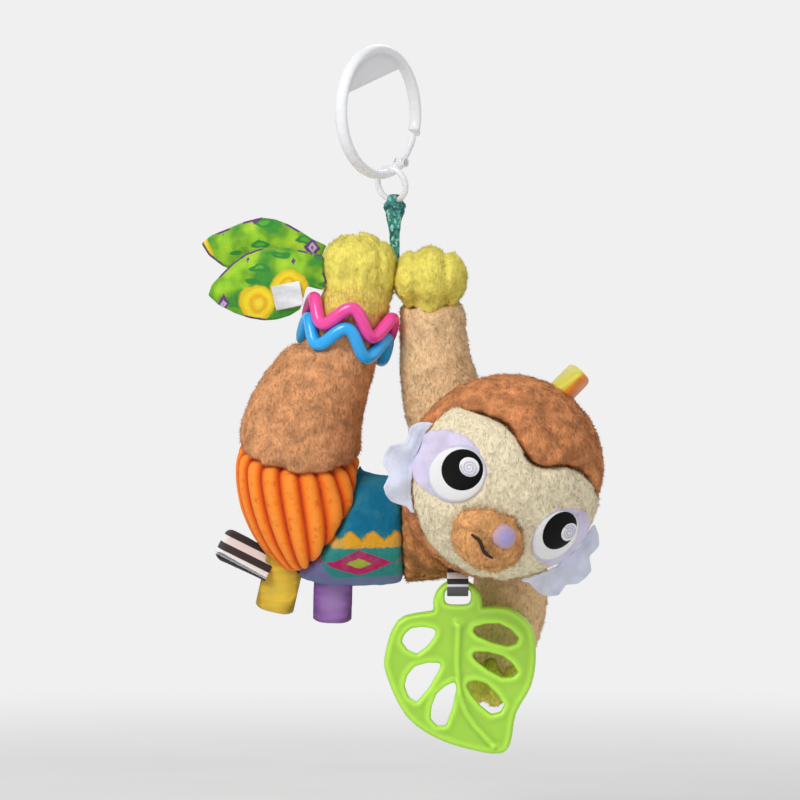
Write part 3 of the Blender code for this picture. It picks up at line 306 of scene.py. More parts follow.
def printed_leaf_cotton(name, base):
    """Printed cotton on a padded leaf: round yellow flowers, green blades and a few purple shapes on lime."""
    material, tree, where, cloud, rim = start_finish(name, 0.7, {
        "Sheen Weight": 0.15, "Specular IOR Level": 0.3}, (7, 2), "rim")
    drift = add(tree, "TexNoise", {"Vector": where, "Scale": per(4), "Detail": 2}, "Color")
    moved = add(tree, "VectorMath", {"operation": "MULTIPLY_ADD", 0: drift, 1: (5 * MM,) * 3, 2: where})
    flat = add(tree, "Mapping", {"Vector": moved, "Scale": (1, 0.3, 1)})
    shapes = []
    for every, measure, laid in ((9, "EUCLIDEAN", {"Rotation": (0, 0.6, 0), "Scale": (0.55, 1, 1.4)}),
                                 (21, "MANHATTAN", {"Location": (9 * MM, 0, 4 * MM), "Scale": (1.5, 1, 1)}),
                                 (24, "EUCLIDEAN", {"Location": (2 * MM, 0, 13 * MM)})):
        at = add(tree, "Mapping", {"Vector": flat, **laid})
        shapes.append(add(tree, "TexVoronoi", {"Vector": at, "Scale": 1 / (every * MM), "distance": measure}))
    blades, gems, blooms = shapes
    cloth = add(tree, "ValToRGB", {"Fac": cloud, "stops": (
        (0.42, "#3f9430"), (0.5, shade(base, 0.85)), (0.56, base), (0.68, "#b9d834"))})
    layers = [(value, size + 0.02, size - 0.02, 1, tint) for value, size, tint in (
        (blades, 0.3, "#2f8a35"), (blades, 0.16, "#5cad2c"), (gems, 0.3, "#6b3f7d"), (gems, 0.18, "#c8b4cf"),
        (gems, 0.09, "#7b4c8c"), (blooms, 0.4, "#e9c41f"), (blooms, 0.34, "#f5dc2a"),
        (blooms, 0.25, "#efb51d"), (blooms, 0.19, "#f6e23c"), (blooms, 0.08, "#8fb829"))]
    outer = add(tree, "MapRange", {"Value": rim, "From Min": 0.86, "From Max": 0.9})
    broken = add(tree, "MapRange", {"Value": cloud, "From Min": 0.5, "From Max": 0.54})
    border = add(tree, "Math", {"operation": "MULTIPLY", 0: outer, 1: broken})
    layers.append((border, 0, 1, 1, "#5d3a70"))
    return end_finish(material, cloth, layers, weave(tree, where, 0.6), 0.08, 0.7)


def satin_ribbon(name, base, second=None, specks=(), crown=None):
    """Woven polyester satin ribbon: a streaky gloss and fine ribs.

    It may have a second half, specks, or a painted highlight on its crown and painted shade at its selvages,
    where the loop is folded.
    """
    material, tree, where = start_finish(name, 0.4, {"Anisotropic": 0.4, "Sheen Weight": 0.1})
    drawn = add(tree, "Mapping", {"Vector": where, "Scale": (0.3, 1, 1)})
    streaks = add(tree, "TexNoise", {"Vector": drawn, "Scale": per(2), "Detail": 3})
    cloth = add(tree, "ValToRGB", {"Fac": streaks, "stops": (
        (0.3, shade(base, 0.85)), (0.55, base), (0.75, shade(base, 1.25)))})
    layers = []
    if crown:
        # Painted light: the loop's crown is painted paler as a highlight, and its selvages darker as shade.
        fold = add(tree, "Attribute", {"attribute_name": "fold"}, "Fac")
        layers += [(fold, 0.3, 1, 0.75, crown), (fold, 0.25, 0, 0.6, shade(base, 0.55))]
    for index, speck in enumerate(specks):
        moved = add(tree, "Mapping", {"Vector": where, "Location": (0.03 * index, 0, 0)})
        spots = add(tree, "TexNoise", {"Vector": moved, "Scale": per(1.3), "Detail": 2})
        layers.append((spots, 0.53, 0.58, 1, speck))
    if second:
        layers.append((add(tree, "Attribute", {"attribute_name": "half"}, "Fac"), 0.46, 0.54, 1, second))
    return end_finish(material, cloth, layers, weave(tree, where, 0.5), 0.05, 0.6)


def striped_ribbon(name, way, width, start, back=None):
    """Grosgrain ribbon in black and white bands, dull and finely ribbed, and past its back's start painted
    dark grey as the shade on the loop.
    """
    material, tree, where, rub = start_finish(name, 0.62, {"Sheen Weight": 0.1}, (1.2, 3))
    along = add(tree, "VectorMath", {"operation": "DOT_PRODUCT", 0: where, 1: way}, "Value")
    turns = add(tree, "Math", {"operation": "MULTIPLY_ADD", 0: along, 1: math.pi / width, 2: start})
    layers = [(add(tree, "Math", {"operation": "SINE", 0: turns}), -0.08, 0.08, 1, "#f6f6f7")]
    # Painted shade: past the back's start the ribbon is painted dark grey, as the shade on the loop's far
    # side.
    if back:
        layers.append((along, back + 0.3 * MM, back - 0.3 * MM, 1, "#55525a"))
    layers.append((rub, 0, 1, 0.12, "#85828a"))
    count = add(tree, "Math", {"operation": "MULTIPLY", 0: along, 1: 2 * math.pi / (0.6 * MM)})
    ribs = add(tree, "Math", {"operation": "SINE", 0: count})
    return end_finish(material, "#18171b", layers, ribs, 0.05, 0.6)


def satin_stitch(name, base, way=(1, 0, 0.4), gloss=0.36, shine=0.3, between=0.82, edge=None):
    """Machine embroidery in satin stitch: close rows of silky rayon thread, with painted shade between the
    rows and a painted highlight along their tops.

    The edge may be sewn in a second colour.
    """
    material, tree, where, waver = start_finish(name, gloss, {
        "Specular IOR Level": shine, "Anisotropic": 0.4}, (1.2, 2))
    along = add(tree, "VectorMath", {"operation": "DOT_PRODUCT", 0: where, 1: way}, "Value")
    thread = 2 * math.pi / sizes().thread
    turns = add(tree, "Math", {"operation": "MULTIPLY_ADD", 0: along, 1: thread, 2: waver})
    rows = add(tree, "Math", {"operation": "SINE", 0: turns})
    high = add(tree, "Math", {"operation": "MULTIPLY_ADD", 0: rows, 1: 0.5, 2: 0.5})
    # Painted light: the rows are painted darker between them as shade and paler along their tops as a
    # highlight.
    cloth = add(tree, "ValToRGB", {"Fac": high, "stops": (
        (0.0, shade(base, between)), (0.5, base), (1.0, shade(base, 1.15)))})
    layers = []
    if edge:
        layers.append((add(tree, "Attribute", {"attribute_name": "faded"}, "Fac"), 0, 1, 1, edge))
    return end_finish(material, cloth, layers, rows, 0.1, 0.8)


def short_velour(name, base, edge=None):
    """Smooth velour with a very short nap: soft, paler where it is brushed up, and at an edge of its own."""
    material, tree, _, brushed, nap = start_finish(name, 0.85, {
        "Sheen Weight": 0.35, "Specular IOR Level": 0.25}, (4, 2), (0.35, 2))
    cloth = add(tree, "ValToRGB", {"Fac": brushed, "stops": (
        (0.3, shade(base, 0.92)), (0.55, base), (0.75, shade(base, 1.3)))})
    layers = [(nap, 0, 1, 0.25, shade(base, 0.85))]
    if edge:
        layers.append((add(tree, "Attribute", {"attribute_name": "faded"}, "Fac"), 0, 1, 1, edge))
    return end_finish(material, cloth, layers, nap, 0.2, 0.6)


def moulded_plastic(name, base, gloss=0.16):
    """Injection-moulded polypropylene: even colour with painted shade in its hollows and a painted highlight
    on its raised edges, sharp highlights and a slight haze where hands rub it.
    """
    material, tree, _, flow, rub, relief = start_finish(name, gloss, {
        "Coat Weight": 0.4, "Coat Roughness": 0.08, "Subsurface Weight": 0.06,
        "Subsurface Radius": (1.2 * MM, 1.2 * MM, 1.2 * MM)}, (8, 2), (2, 4), "relief")
    # Painted light: hollows are painted darker as shade and raised edges paler as a highlight.
    cloth = add(tree, "ValToRGB", {"Fac": relief, "stops": (
        (0.1, shade(base, 0.86)), (0.5, base), (0.9, shade(base, 1.3)))})
    haze = add(tree, "MapRange", {"Value": rub, "To Min": gloss, "To Max": gloss + 0.12})
    tree.links.new(haze, tree.nodes["Principled BSDF"].inputs["Roughness"])
    return end_finish(material, cloth, ((flow, 0, 1, 0.12, shade(base, 0.84)),), flow, 0.05, 0.5)


def moulded_silicone(name, base):
    """Silicone cast in a polished mould: a soft broad gloss, light under the skin, a painted highlight on its
    raised edges and painted shade in its hollows.
    """
    material, tree, _, cloud, grain, relief = start_finish(name, 0.34, {
        "IOR": 1.41, "Coat Weight": 0.12, "Coat Roughness": 0.25, "Subsurface Weight": 0.2,
        "Subsurface Radius": (1.5 * MM, 2.5 * MM, 0.8 * MM)}, (9, 2), (0.7, 3), "relief")
    # Painted light: hollows are painted darker as shade and raised rims paler as a highlight.
    cloth = add(tree, "ValToRGB", {"Fac": relief, "stops": (
        (0.1, shade(base, 0.8)), (0.45, base), (0.85, shade(base, 1.5)))})
    return end_finish(material, cloth, ((cloud, 0, 1, 0.25, shade(base, 0.84)),), grain, 0.03, 0.4)


def painted_floor(name, base):
    """Matt painted board, very slightly mottled, that fades into the background a long way off."""
    material, tree, where, mottle = start_finish(name, 1, {
        "Specular IOR Level": 0, "Emission Color": base}, (60, 3))
    far = add(tree, "VectorMath", {"operation": "LENGTH", 0: where}, "Value")
    faded = add(tree, "MapRange", {
        "interpolation_type": "SMOOTHSTEP", "Value": far, "From Min": 0.45, "From Max": 1.1})
    seen = add(tree, "LightPath", {}, "Is Camera Ray")
    away = add(tree, "Math", {"operation": "MULTIPLY", 0: faded, 1: seen})
    tree.links.new(away, tree.nodes["Principled BSDF"].inputs["Emission Strength"])
    cloth = add(tree, "ValToRGB", {"Fac": mottle, "stops": ((0.3, shade(base, 0.985)), (0.7, base))})
    return end_finish(material, cloth, ((away, 0, 1, 1, "#000000"),), mottle, 0.1, 0.3)


# Shaping helpers

STUFFED_CLOTH = {"quality": 5, "mass": 0.3, "tension_stiffness": 8, "compression_stiffness": 8,
                 "bending_stiffness": 0.3, "use_pressure": True, "uniform_pressure_force": 4}
STUFFING_STEPS = 20
PILE_WAVES = np.array([[310, 120, 90], [80, 260, 150], [210, 90, 330]])  # how the lie of the pile wanders
PILE_ROOT = 0.3 * MM
CREASE_WIDTH = 2.2 * MM
CREASE_DEPTH = 1.4 * MM
SEAM_WIDTH = 0.55 * MM
SEAM_DEPTH = 0.45 * MM
PADDED_CELL = 0.7 * MM
RIBBON_CELL = 0.4 * MM
FLAT_FACING = 0.5  # less of its normal faces front or back than this at a flat piece's edge
FRILL_GATHERS = 9
GATHER_HEIGHT = 1.3 * MM
WALES = 19
WALE_HEIGHT = 1.9 * MM
ZIGZAG_RADIUS = 20.7 * MM
ZIGZAG_HEIGHT = 5.5 * MM
ZIGZAG_TUBE = 3.2 * MM
ZIGZAG_WAVES = 5
ZIGZAG_STEPS = 120


def only(obj):
    """Selects this object alone, so that an operator acts on nothing else."""
    bpy.ops.object.select_all(action="DESELECT")
    obj.select_set(True)
    bpy.context.view_layer.objects.active = obj
    return obj


def modify(obj, kind, **settings):
    """Adds a modifier to a piece and applies it."""
    only(obj)
    modifier = obj.modifiers.new(kind.lower(), kind)
    for key, value in settings.items():
        setattr(modifier, key, value)
    bpy.ops.object.modifier_apply(modifier=modifier.name)
    return obj


def edit(obj, *steps):
    """Runs edit-mode operators on the whole mesh of a piece; each step is an operator and its settings."""
    only(obj)
    bpy.ops.object.mode_set(mode="EDIT")
    bpy.ops.mesh.select_all(action="SELECT")
    for operator, settings in steps:
        operator(**settings)
    bpy.ops.object.mode_set(mode="OBJECT")
    return obj


def copy_of(name, *nodes):
    """The solids of those CAD nodes, copied into one new piece, with their loose triangles joined."""
    bm = bmesh.new()
    for node in nodes:
        bm.from_mesh(frame["nodes"][node].data)
    mesh = bpy.data.meshes.new(name)
    bm.to_mesh(mesh)
    bm.free()
    obj = bpy.data.objects.new(name, mesh)
    bpy.context.scene.collection.objects.link(obj)
    return edit(obj, (bpy.ops.mesh.remove_doubles, {"threshold": 0.01 * MM}),
                (bpy.ops.mesh.normals_make_consistent, {"inside": False}))


def remeshed(name, cell, *nodes):
    """The same copy with its form on an even mesh of that cell."""
    return modify(copy_of(name, *nodes), "REMESH", mode="VOXEL", voxel_size=cell)


def points_of(obj, kind="co"):
    values = np.empty(len(obj.data.vertices) * 3)
    obj.data.vertices.foreach_get(kind, values)
    return values.reshape(-1, 3)


def set_points(obj, points):
    obj.data.vertices.foreach_set("co", points.ravel())
    obj.data.update()
    return obj


def note(obj, name, values):
    """Keeps one number for each vertex, for the finish to read."""
    obj.data.attributes.new(name, "FLOAT", "POINT").data.foreach_set("value", np.asarray(values, dtype=float))
    return obj


def relaxed(obj, rounds):
    """Where the vertices go if each moves towards its neighbours that many times."""
    edges = np.empty(len(obj.data.edges) * 2, dtype=int)
    obj.data.edges.foreach_get("vertices", edges)
    first, second = edges.reshape(-1, 2).T
    points = points_of(obj)
    count = np.bincount(edges, minlength=len(points))[:, None]
    for _ in range(rounds):
        total = np.stack([np.bincount(first, points[second, i], len(points))
                          + np.bincount(second, points[first, i], len(points)) for i in range(3)], axis=1)
        points = points * 0.5 + total / count * 0.5
    return points


def note_relief(obj, rounds, height):
    """Notes how far each place stands out (1) or lies in (0) from the form around it."""
    out = ((points_of(obj) - relaxed(obj, rounds)) * points_of(obj, "normal")).sum(axis=1)
    return note(obj, "relief", np.clip(0.5 + out / (2 * height), 0, 1))


def moulded(name, cell, rounds, *nodes):
    """A moulded piece: the CAD solid's form on a fine mesh, with its edges rounded as a mould's are."""
    obj = remeshed(name, cell, *nodes)
    set_points(obj, relaxed(obj, rounds))
    return note_relief(obj, 24, 0.6 * MM)


def blow_up(obj, most):
    """Fills the cloth with stuffing by a pressure simulation, and lets no place move further than most."""
    only(obj)
    before = points_of(obj)
    cloth = obj.modifiers.new("stuffing", "CLOTH")
    for key, value in STUFFED_CLOTH.items():
        setattr(cloth.settings, key, value)
    cloth.settings.effector_weights.gravity = 0
    cloth.point_cache.frame_end = STUFFING_STEPS
    for step in range(1, STUFFING_STEPS + 1):
        bpy.context.scene.frame_set(step)
    bpy.ops.object.modifier_apply(modifier=cloth.name)
    bpy.context.scene.frame_set(1)
    moved = points_of(obj) - before
    far = np.linalg.norm(moved, axis=1, keepdims=True)
    return set_points(obj, before + moved * np.minimum(1, most / np.maximum(far, most / 100)))


def stuffed(name, *nodes, most=None, rounds=2, fine=1.0):
    """A stuffed piece: the CAD solid's form, filled out, and rounded in at the seams."""
    obj = remeshed(name, sizes().stuffing_cell * fine, *nodes)
    set_points(obj, relaxed(obj, rounds))
    blow_up(obj, most or sizes().puff)
    return modify(obj, "SUBSURF", levels=2, render_levels=2)


def creased(obj, places):
    """Draws the cloth in along lines of stitches, at those places along +X."""
    points, normals = points_of(obj), points_of(obj, "normal")
    drawn = sum(np.exp(-((points[:, 0] - at) / CREASE_WIDTH) ** 2) for at in places)
    return set_points(obj, points - normals * (CREASE_DEPTH * drawn)[:, None])


def mat_down(obj, width, height):
    """Lifts the surface into the tufts that matted pile makes."""
    texture = bpy.data.textures.new(obj.name + "_tufts", "CLOUDS")
    texture.noise_scale = width
    texture.noise_depth = 2
    return modify(obj, "DISPLACE", texture=texture, strength=height * 2, mid_level=0.5)


def pile(obj, comb, long, density, seed, lift=0.4):
    """Clumps of pile on a piece, as thin closed spikes that lean the way the cloth was combed."""
    points = points_of(obj)
    obj.data.calc_loop_triangles()
    corners = np.empty(len(obj.data.loop_triangles) * 3, dtype=int)
    obj.data.loop_triangles.foreach_get("vertices", corners)
    a, b, c = (points[corners.reshape(-1, 3)[:, i]] for i in range(3))
    cross = np.cross(b - a, c - a)
    area = np.linalg.norm(cross, axis=1) / 2
    random = np.random.default_rng(seed)
    count = int(area.sum() * 1e4 * density)
    pick = random.choice(len(area), count, p=area / area.sum())
    u, v = random.random((2, count, 1))
    flip = u + v > 1
    u, v = np.where(flip, 1 - u, u), np.where(flip, 1 - v, v)
    normal = cross[pick] / (2 * area[pick, None])
    root = a[pick] + u * (b - a)[pick] + v * (c - a)[pick]
    lean = np.asarray(comb, dtype=float) + np.sin(root @ PILE_WAVES + seed) * 0.55
    lean -= (lean * normal).sum(axis=1, keepdims=True) * normal
    way = unit(normal * lift + unit(lean) * 0.8 + random.normal(0, 0.25, (count, 3)))
    side = unit(np.cross(way, normal))
    back = np.cross(side, way)
    wide = sizes().fibre_width * random.uniform(0.6, 1.3, (count, 1))
    tip = root + way * long * random.uniform(0.6, 1.25, (count, 1))
    root = root - normal * PILE_ROOT
    verts = np.stack([root + side * wide / 2, root - side * wide / 2, root + back * wide * 0.6, tip], axis=1)
    start = np.arange(count)[:, None] * 4
    sides = ((0, 1, 2), (1, 0, 3), (2, 1, 3), (0, 2, 3))
    faces = np.concatenate([start + np.array(side_corners) for side_corners in sides])
    mesh = bpy.data.meshes.new(obj.name + "_pile")
    mesh.from_pydata(verts.reshape(-1, 3), [], faces[:, ::-1])
    fibres = bpy.data.objects.new(mesh.name, mesh)
    bpy.context.scene.collection.objects.link(fibres)
    # Painted light: how much paler each fibre's tip is painted, as a highlight over the painted shade at its
    # root.
    shown = random.uniform(0.2, 1, count)
    note(fibres, "tip", np.stack([shown * 0, shown * 0, shown * 0, shown], axis=1).ravel())
    mesh.shade_smooth()
    soft = np.repeat(unit(normal + way * 0.4), 4, axis=0)
    mesh.normals_split_custom_set_from_vertices(soft)
    return fibres


def unit(vectors):
    return vectors / np.maximum(np.linalg.norm(vectors, axis=-1, keepdims=True), 1e-12)


def deliver(obj, finish, body, nodes=()):
    """Gives a finished piece its finish and its body, and hides the CAD solids that it stands for.

    With no body, it is the ribbon, which twists between the ring's side and the toy's.
    """
    obj.data.materials.clear()
    obj.data.materials.append(finish)
    if not obj.name.endswith("_pile"):
        only(obj)
        bpy.ops.object.shade_smooth()
    if body:
        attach(obj, body)
    else:
        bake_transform(obj)
    if nodes:
        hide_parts(*nodes)
    return obj


def plush(name, body, finish, comb, seed, long=None, rate=1.0, lift=0.4, most=None,
          fine=1.0, creases=(), cuff=None, tuck=None, tuck_depth=4 * MM):
    """A stuffed plush piece with its pile, named after its CAD node.

    Creases are places along +X where the cloth is drawn in, and cuff says where a second colour shows.
    Tuck is the way that its end goes on into the next piece, as at a seam, and tuck_depth is how far.
    """
    obj = stuffed(name + "_cloth", name, most=most, fine=fine)
    if creases:
        creased(obj, creases)
    if tuck:
        points = points_of(obj)
        along = points @ np.array(tuck)
        into = np.clip((along - along.max()) / tuck_depth + 1.25, 0, 1)
        set_points(obj, points + np.outer(into, tuck) * tuck_depth)
    mat_down(obj, sizes().tuft_width, sizes().tuft_height)
    fibres = pile(obj, comb, long or sizes().fibre_length, sizes().fibres_per_cm2 * rate, seed, lift)
    if cuff:
        for piece in (obj, fibres):
            note(piece, "cuff", cuff(points_of(piece)))
    deliver(obj, finish, body, (name,))
    deliver(fibres, finish, body, ())


# Places that the pieces share

def place(point, depth=0.0):
    """The real place of a picture point, at a depth behind the ribbon's plane."""
    across, down = point[0] - HANG_POINT[0], point[1] - HANG_POINT[1]
    return Vector((across * POINT, RIBBON_BAR.y + depth, -down * POINT))


HEAD = (Matrix.Translation(place((293, 219), -42 * MM)) @ Matrix.Rotation(math.radians(32.5), 4, "Y")
        @ Matrix.Rotation(math.radians(15), 4, "Z"))
HEAD_RADIUS = 50 * MM
HEAD_HALF_DEPTH = 35 * MM
FACE_WAY = HEAD.to_3x3() @ Vector((0, -1, 0))
SEAT_MIDDLE = place((219.5, 222))
SEAT_WAY = Vector((0.135, 0, -0.991))
TAG_ENDS = {name: (place(start), place(end)) for name, start, end in (
    ("striped_tag", (205, 251), (190, 243.5)), ("yellow_tag", (213.5, 252), (209.5, 269.5)),
    ("purple_tag", (231.5, 256), (231, 273.5)), ("head_tag", (310.8, 191), (322, 181)))}


def face_y(x, z):
    """Where the face's surface lies, in the head's own frame, at a place across and up it."""
    return -HEAD_HALF_DEPTH * math.sqrt(max(0.02, 1 - (x * x + z * z) / HEAD_RADIUS ** 2))


def muzzle_y(x, z):
    """Where the muzzle's surface lies, in the head's own frame."""
    share = (x / (19.3 * MM)) ** 2 + ((z + 26 * MM) / (16.7 * MM)) ** 2
    return face_y(0, -26 * MM) - 12 * MM * math.sqrt(max(0.02, 1 - share))


def spot(point, surface):
    """Where a picture point falls on a surface of the head, across and up the head's own frame."""
    goal = place(point) - HEAD.translation
    x = z = 0
    for _ in range(12):
        left, up = goal.x - HEAD[0][1] * surface(x, z), goal.z - HEAD[2][1] * surface(x, z)
        spread = HEAD[0][0] * HEAD[2][2] - HEAD[0][2] * HEAD[2][0]
        x = (x + (left * HEAD[2][2] - HEAD[0][2] * up) / spread) / 2
        z = (z + (HEAD[0][0] * up - left * HEAD[2][0]) / spread) / 2
    return x, z


def lens(name, centre, size, low, high, crown=0.3, fullness=2.0, surface=face_y):
    """A padded or stitched oval on the face, domed on top, between two heights over it, in millimetres.

    A larger fullness squares the oval.
    """
    bpy.ops.object.select_all(action="DESELECT")
    bpy.ops.mesh.primitive_uv_sphere_add(segments=72, ring_count=28, radius=1, rotation=(math.pi / 2, 0, 0))
    obj = bpy.context.active_object
    bpy.ops.object.transform_apply(location=True, rotation=True, scale=True)
    obj.name = name
    for vert in obj.data.vertices:
        across, depth, up = vert.co
        share = math.hypot(across, up)
        angle = math.atan2(up, across)
        flat = (abs(math.cos(angle)) / size[0]) ** fullness + (abs(math.sin(angle)) / size[1]) ** fullness
        reach = share * flat ** (-1 / fullness)
        x, z = (centre[0] + reach * math.cos(angle)) * MM, (centre[1] + reach * math.sin(angle)) * MM
        rise = max(0, 1 - share ** 2) ** crown if depth < 0 else 0
        vert.co = (x, surface(x, z) - (low + (high - low) * rise) * MM, z)
    return to_head(obj)


def head_frame(points):
    """Real places on the head, given in the head's own frame."""
    return (points - np.array(HEAD.translation)) @ np.array(HEAD.to_3x3())


def to_head(obj):
    """Moves a piece from the head's own frame, where it was made, to its real place."""
    obj.data.transform(HEAD)
    return edit(obj, (bpy.ops.mesh.normals_make_consistent, {"inside": False}))


def rod(name, points, radius, closed=False):
    """A round rod or thread along points, with rounded ends or as a closed ring."""
    curve = bpy.data.curves.new(name, "CURVE")
    curve.dimensions = "3D"
    curve.bevel_depth = radius
    curve.bevel_resolution = 6
    curve.use_fill_caps = True
    spline = curve.splines.new("NURBS")
    spline.points.add(len(points) - 1)
    for index, (knot, point) in enumerate(zip(spline.points, points)):
        knot.co = (*point, 1)
        knot.radius = 1 if closed else min(1, 0.55 + 0.45 * min(index, len(points) - 1 - index))
    spline.use_endpoint_u = not closed
    spline.use_cyclic_u = closed
    spline.order_u = 4
    spline.resolution_u = 6
    obj = bpy.data.objects.new(name, curve)
    bpy.context.scene.collection.objects.link(obj)
    only(obj)
    bpy.ops.object.convert(target="MESH")
    obj = bpy.context.active_object
    return edit(obj, (bpy.ops.mesh.remove_doubles, {"threshold": 0.02 * MM}),
                (bpy.ops.mesh.normals_make_consistent, {"inside": False}))


def rim_distance(points, facing):
    """How far each place of a flat piece lies from the piece's edges, where it doesn't face front or back."""
    rim = np.flatnonzero(np.abs(facing) < FLAT_FACING)
    tree = KDTree(len(rim))
    for index in rim:
        tree.insert(points[index], int(index))
    tree.balance()
    return np.array([tree.find(point)[2] for point in points])


def puffed(name, node, way, plump, thin, stitch_in):
    """A padded flat piece, such as a leaf: thin at its rim, plump in the middle, with a line of stitches."""
    obj = remeshed(name, PADDED_CELL, node)
    way = np.asarray(way, dtype=float)
    points, normals = points_of(obj), points_of(obj, "normal")
    height = points @ way
    middle = (height.min() + height.max()) / 2
    facing = normals @ way
    near = rim_distance(points, facing)
    inward = np.clip(near / (14 * MM), 0, 1)
    half = thin + plump * np.sin(inward * math.pi / 2) ** 0.8
    half -= SEAM_DEPTH * np.exp(-((near - stitch_in) / SEAM_WIDTH) ** 2)
    target = middle + np.where(height > middle, 1, -1) * half
    risen = np.where(np.abs(facing) >= FLAT_FACING, target, middle + (height - middle) * 0.6)
    set_points(obj, points + way * (risen - height)[:, None])
    set_points(obj, relaxed(obj, 3))
    return note(obj, "rim", 1 - np.clip(near / (10 * MM), 0, 1))


def leaf_bend(obj, root, tip, droop, curl):
    """Bends a leaf from its root to its tip in the picture, and curls its sides, by so many millimetres."""
    points = points_of(obj)
    start = np.array(place(root))
    line = np.array(place(tip) - place(root))
    share = np.clip((points - start) @ line / (line @ line), 0, 1)
    off = points - start - share[:, None] * line
    curled = curl * np.clip(np.abs(off[:, 2]) / (18 * MM), 0, 1) ** 2 * share
    points[:, 1] += (droop * share ** 2 + curled) * MM
    return set_points(obj, points)


# Operators, one for each piece or group of like pieces

class SLOTH_OT_ring_clip(bpy.types.Operator):
    """Make the white ring clip with its gate and pin"""

    bl_idname = "sloth.ring_clip"
    bl_label = "Ring clip"

    def execute(self, context):
        finish = moulded_plastic("white_polypropylene", tone("ring"), 0.2)
        deliver(moulded("ring_clip", sizes().plastic_cell, 14, "hook_ring"), finish, "ring", ("hook_ring",))
        deliver(moulded("ring_clip_gate", sizes().plastic_cell * 0.7, 3, "ring_gate"), finish, "gate",
                ("ring_gate",))
        pin = modify(copy_of("ring_clip_pin", "gate_pin"), "BEVEL", width=0.25 * MM, segments=3,
                     limit_method="ANGLE")
        deliver(pin, finish, "ring", ("gate_pin",))
        return {"FINISHED"}


class SLOTH_OT_hanging_ribbon(bpy.types.Operator):
    """Make the printed ribbon between the ring and the two mitts"""

    bl_idname = "sloth.hanging_ribbon"
    bl_label = "Hanging ribbon"

    def execute(self, context):
        ribbon = moulded("printed_ribbon", RIBBON_CELL, 3, "hang_ribbon", "ribbon_foot")
        finish = satin_ribbon("printed_teal_satin", "#2f8f8a", specks=("#8fd0c0", "#0d4f52"))
        deliver(ribbon, finish, None, ("hang_ribbon", "ribbon_foot"))
        return {"FINISHED"}


class SLOTH_OT_mitts(bpy.types.Operator):
    """Make the three yellow mitts"""

    bl_idname = "sloth.mitts"
    bl_label = "Mitts"

    def execute(self, context):
        finish = minky_plush("yellow_minky_plush", tone("yellow_plush"), 0.16)
        for seed, (node, body, comb, creases, tuck_depth) in enumerate((
                ("foot_mitt", "sloth", (0.1, 0, 1), (-8.1, 3.9), 11),
                ("raised_hand", "sloth", (0, 0, 1), (19.9, 35.5), 4),
                ("hanging_hand", "low_arm", (0, 0, -1), (54.5, 64.5), 0))):
            plush(node, body, finish, comb, 11 + seed, rate=1.2, fine=0.65,
                  creases=[across * MM for across in creases], tuck=tuck_depth and (0, 0, -1),
                  tuck_depth=tuck_depth * MM)
        return {"FINISHED"}


class SLOTH_OT_brown_plush(bpy.types.Operator):
    """Make the leg and the chest in brown plush"""

    bl_idname = "sloth.brown_plush"
    bl_label = "Leg and chest"

    def execute(self, context):
        def cuff(points):
            return np.clip((points[:, 2] + 0.08 * points[:, 0] + 116 * MM) / (6 * MM), 0, 0.8)

        finish = minky_plush("brown_minky_plush", tone("leg_plush"), second=shade(tone("yellow_plush"), 0.97))
        plush("leg", "sloth", finish, (0.1, 0, -1), 21, cuff=cuff, tuck=(0.25, 0, 0.97))
        finish = minky_plush("dark_brown_minky_plush", tone("chest_plush"), 0.3)
        plush("chest", "sloth", finish, (1, 0, 0.1), 22)
        return {"FINISHED"}


class SLOTH_OT_arms(bpy.types.Operator):
    """Make the raised and the hanging arm in beige plush"""

    bl_idname = "sloth.arms"
    bl_label = "Arms"

    def execute(self, context):
        finish = minky_plush("beige_minky_plush", tone("beige_plush"), 0.16)
        plush("raised_arm", "sloth", finish, (0.1, 0, -1), 31, tuck=(0, 0, 1))
        plush("hanging_arm", "low_arm", finish, (0, 0, -1), 32, tuck=(-0.2, 0, -0.98))
        return {"FINISHED"}


class SLOTH_OT_corduroy_seat(bpy.types.Operator):
    """Make the orange corduroy seat with its wales"""

    bl_idname = "sloth.corduroy_seat"
    bl_label = "Corduroy seat"

    def execute(self, context):
        seat = stuffed("corduroy_seat", "corduroy_rump", rounds=6)
        points, normals = points_of(seat), points_of(seat, "normal")
        off = points - np.array(SEAT_MIDDLE)
        turn = np.arctan2(off @ np.array(SEAT_WAY.cross((0, 1, 0))), -off[:, 1])
        share = np.abs((turn * WALES / (2 * math.pi)) % 1 * 2 - 1)
        wale = 1 - share ** 2.4
        set_points(seat, points + normals * ((wale - 0.7) * WALE_HEIGHT)[:, None])
        note(seat, "relief", wale)
        finish = corduroy_velvet("orange_corduroy", tone("corduroy"))
        deliver(seat, finish, "sloth", ("corduroy_rump",))
        return {"FINISHED"}


class SLOTH_OT_printed_panel(bpy.types.Operator):
    """Make the teal panel with its zigzag and diamond border"""

    bl_idname = "sloth.printed_panel"
    bl_label = "Printed panel"

    def execute(self, context):
        panel = stuffed("printed_panel_cloth", "print_panel")
        mat_down(panel, 5 * MM, 0.4 * MM)
        middle = place((240, 238))
        points = points_of(panel)
        depth, up = points[:, 1] - middle.y, points[:, 2] - middle.z
        note(panel, "around", np.arctan2(-up, -depth) * 31 * MM)
        finish = printed_plush("printed_teal_plush", tone("teal_plush"))
        deliver(panel, finish, "sloth", ("print_panel",))
        return {"FINISHED"}


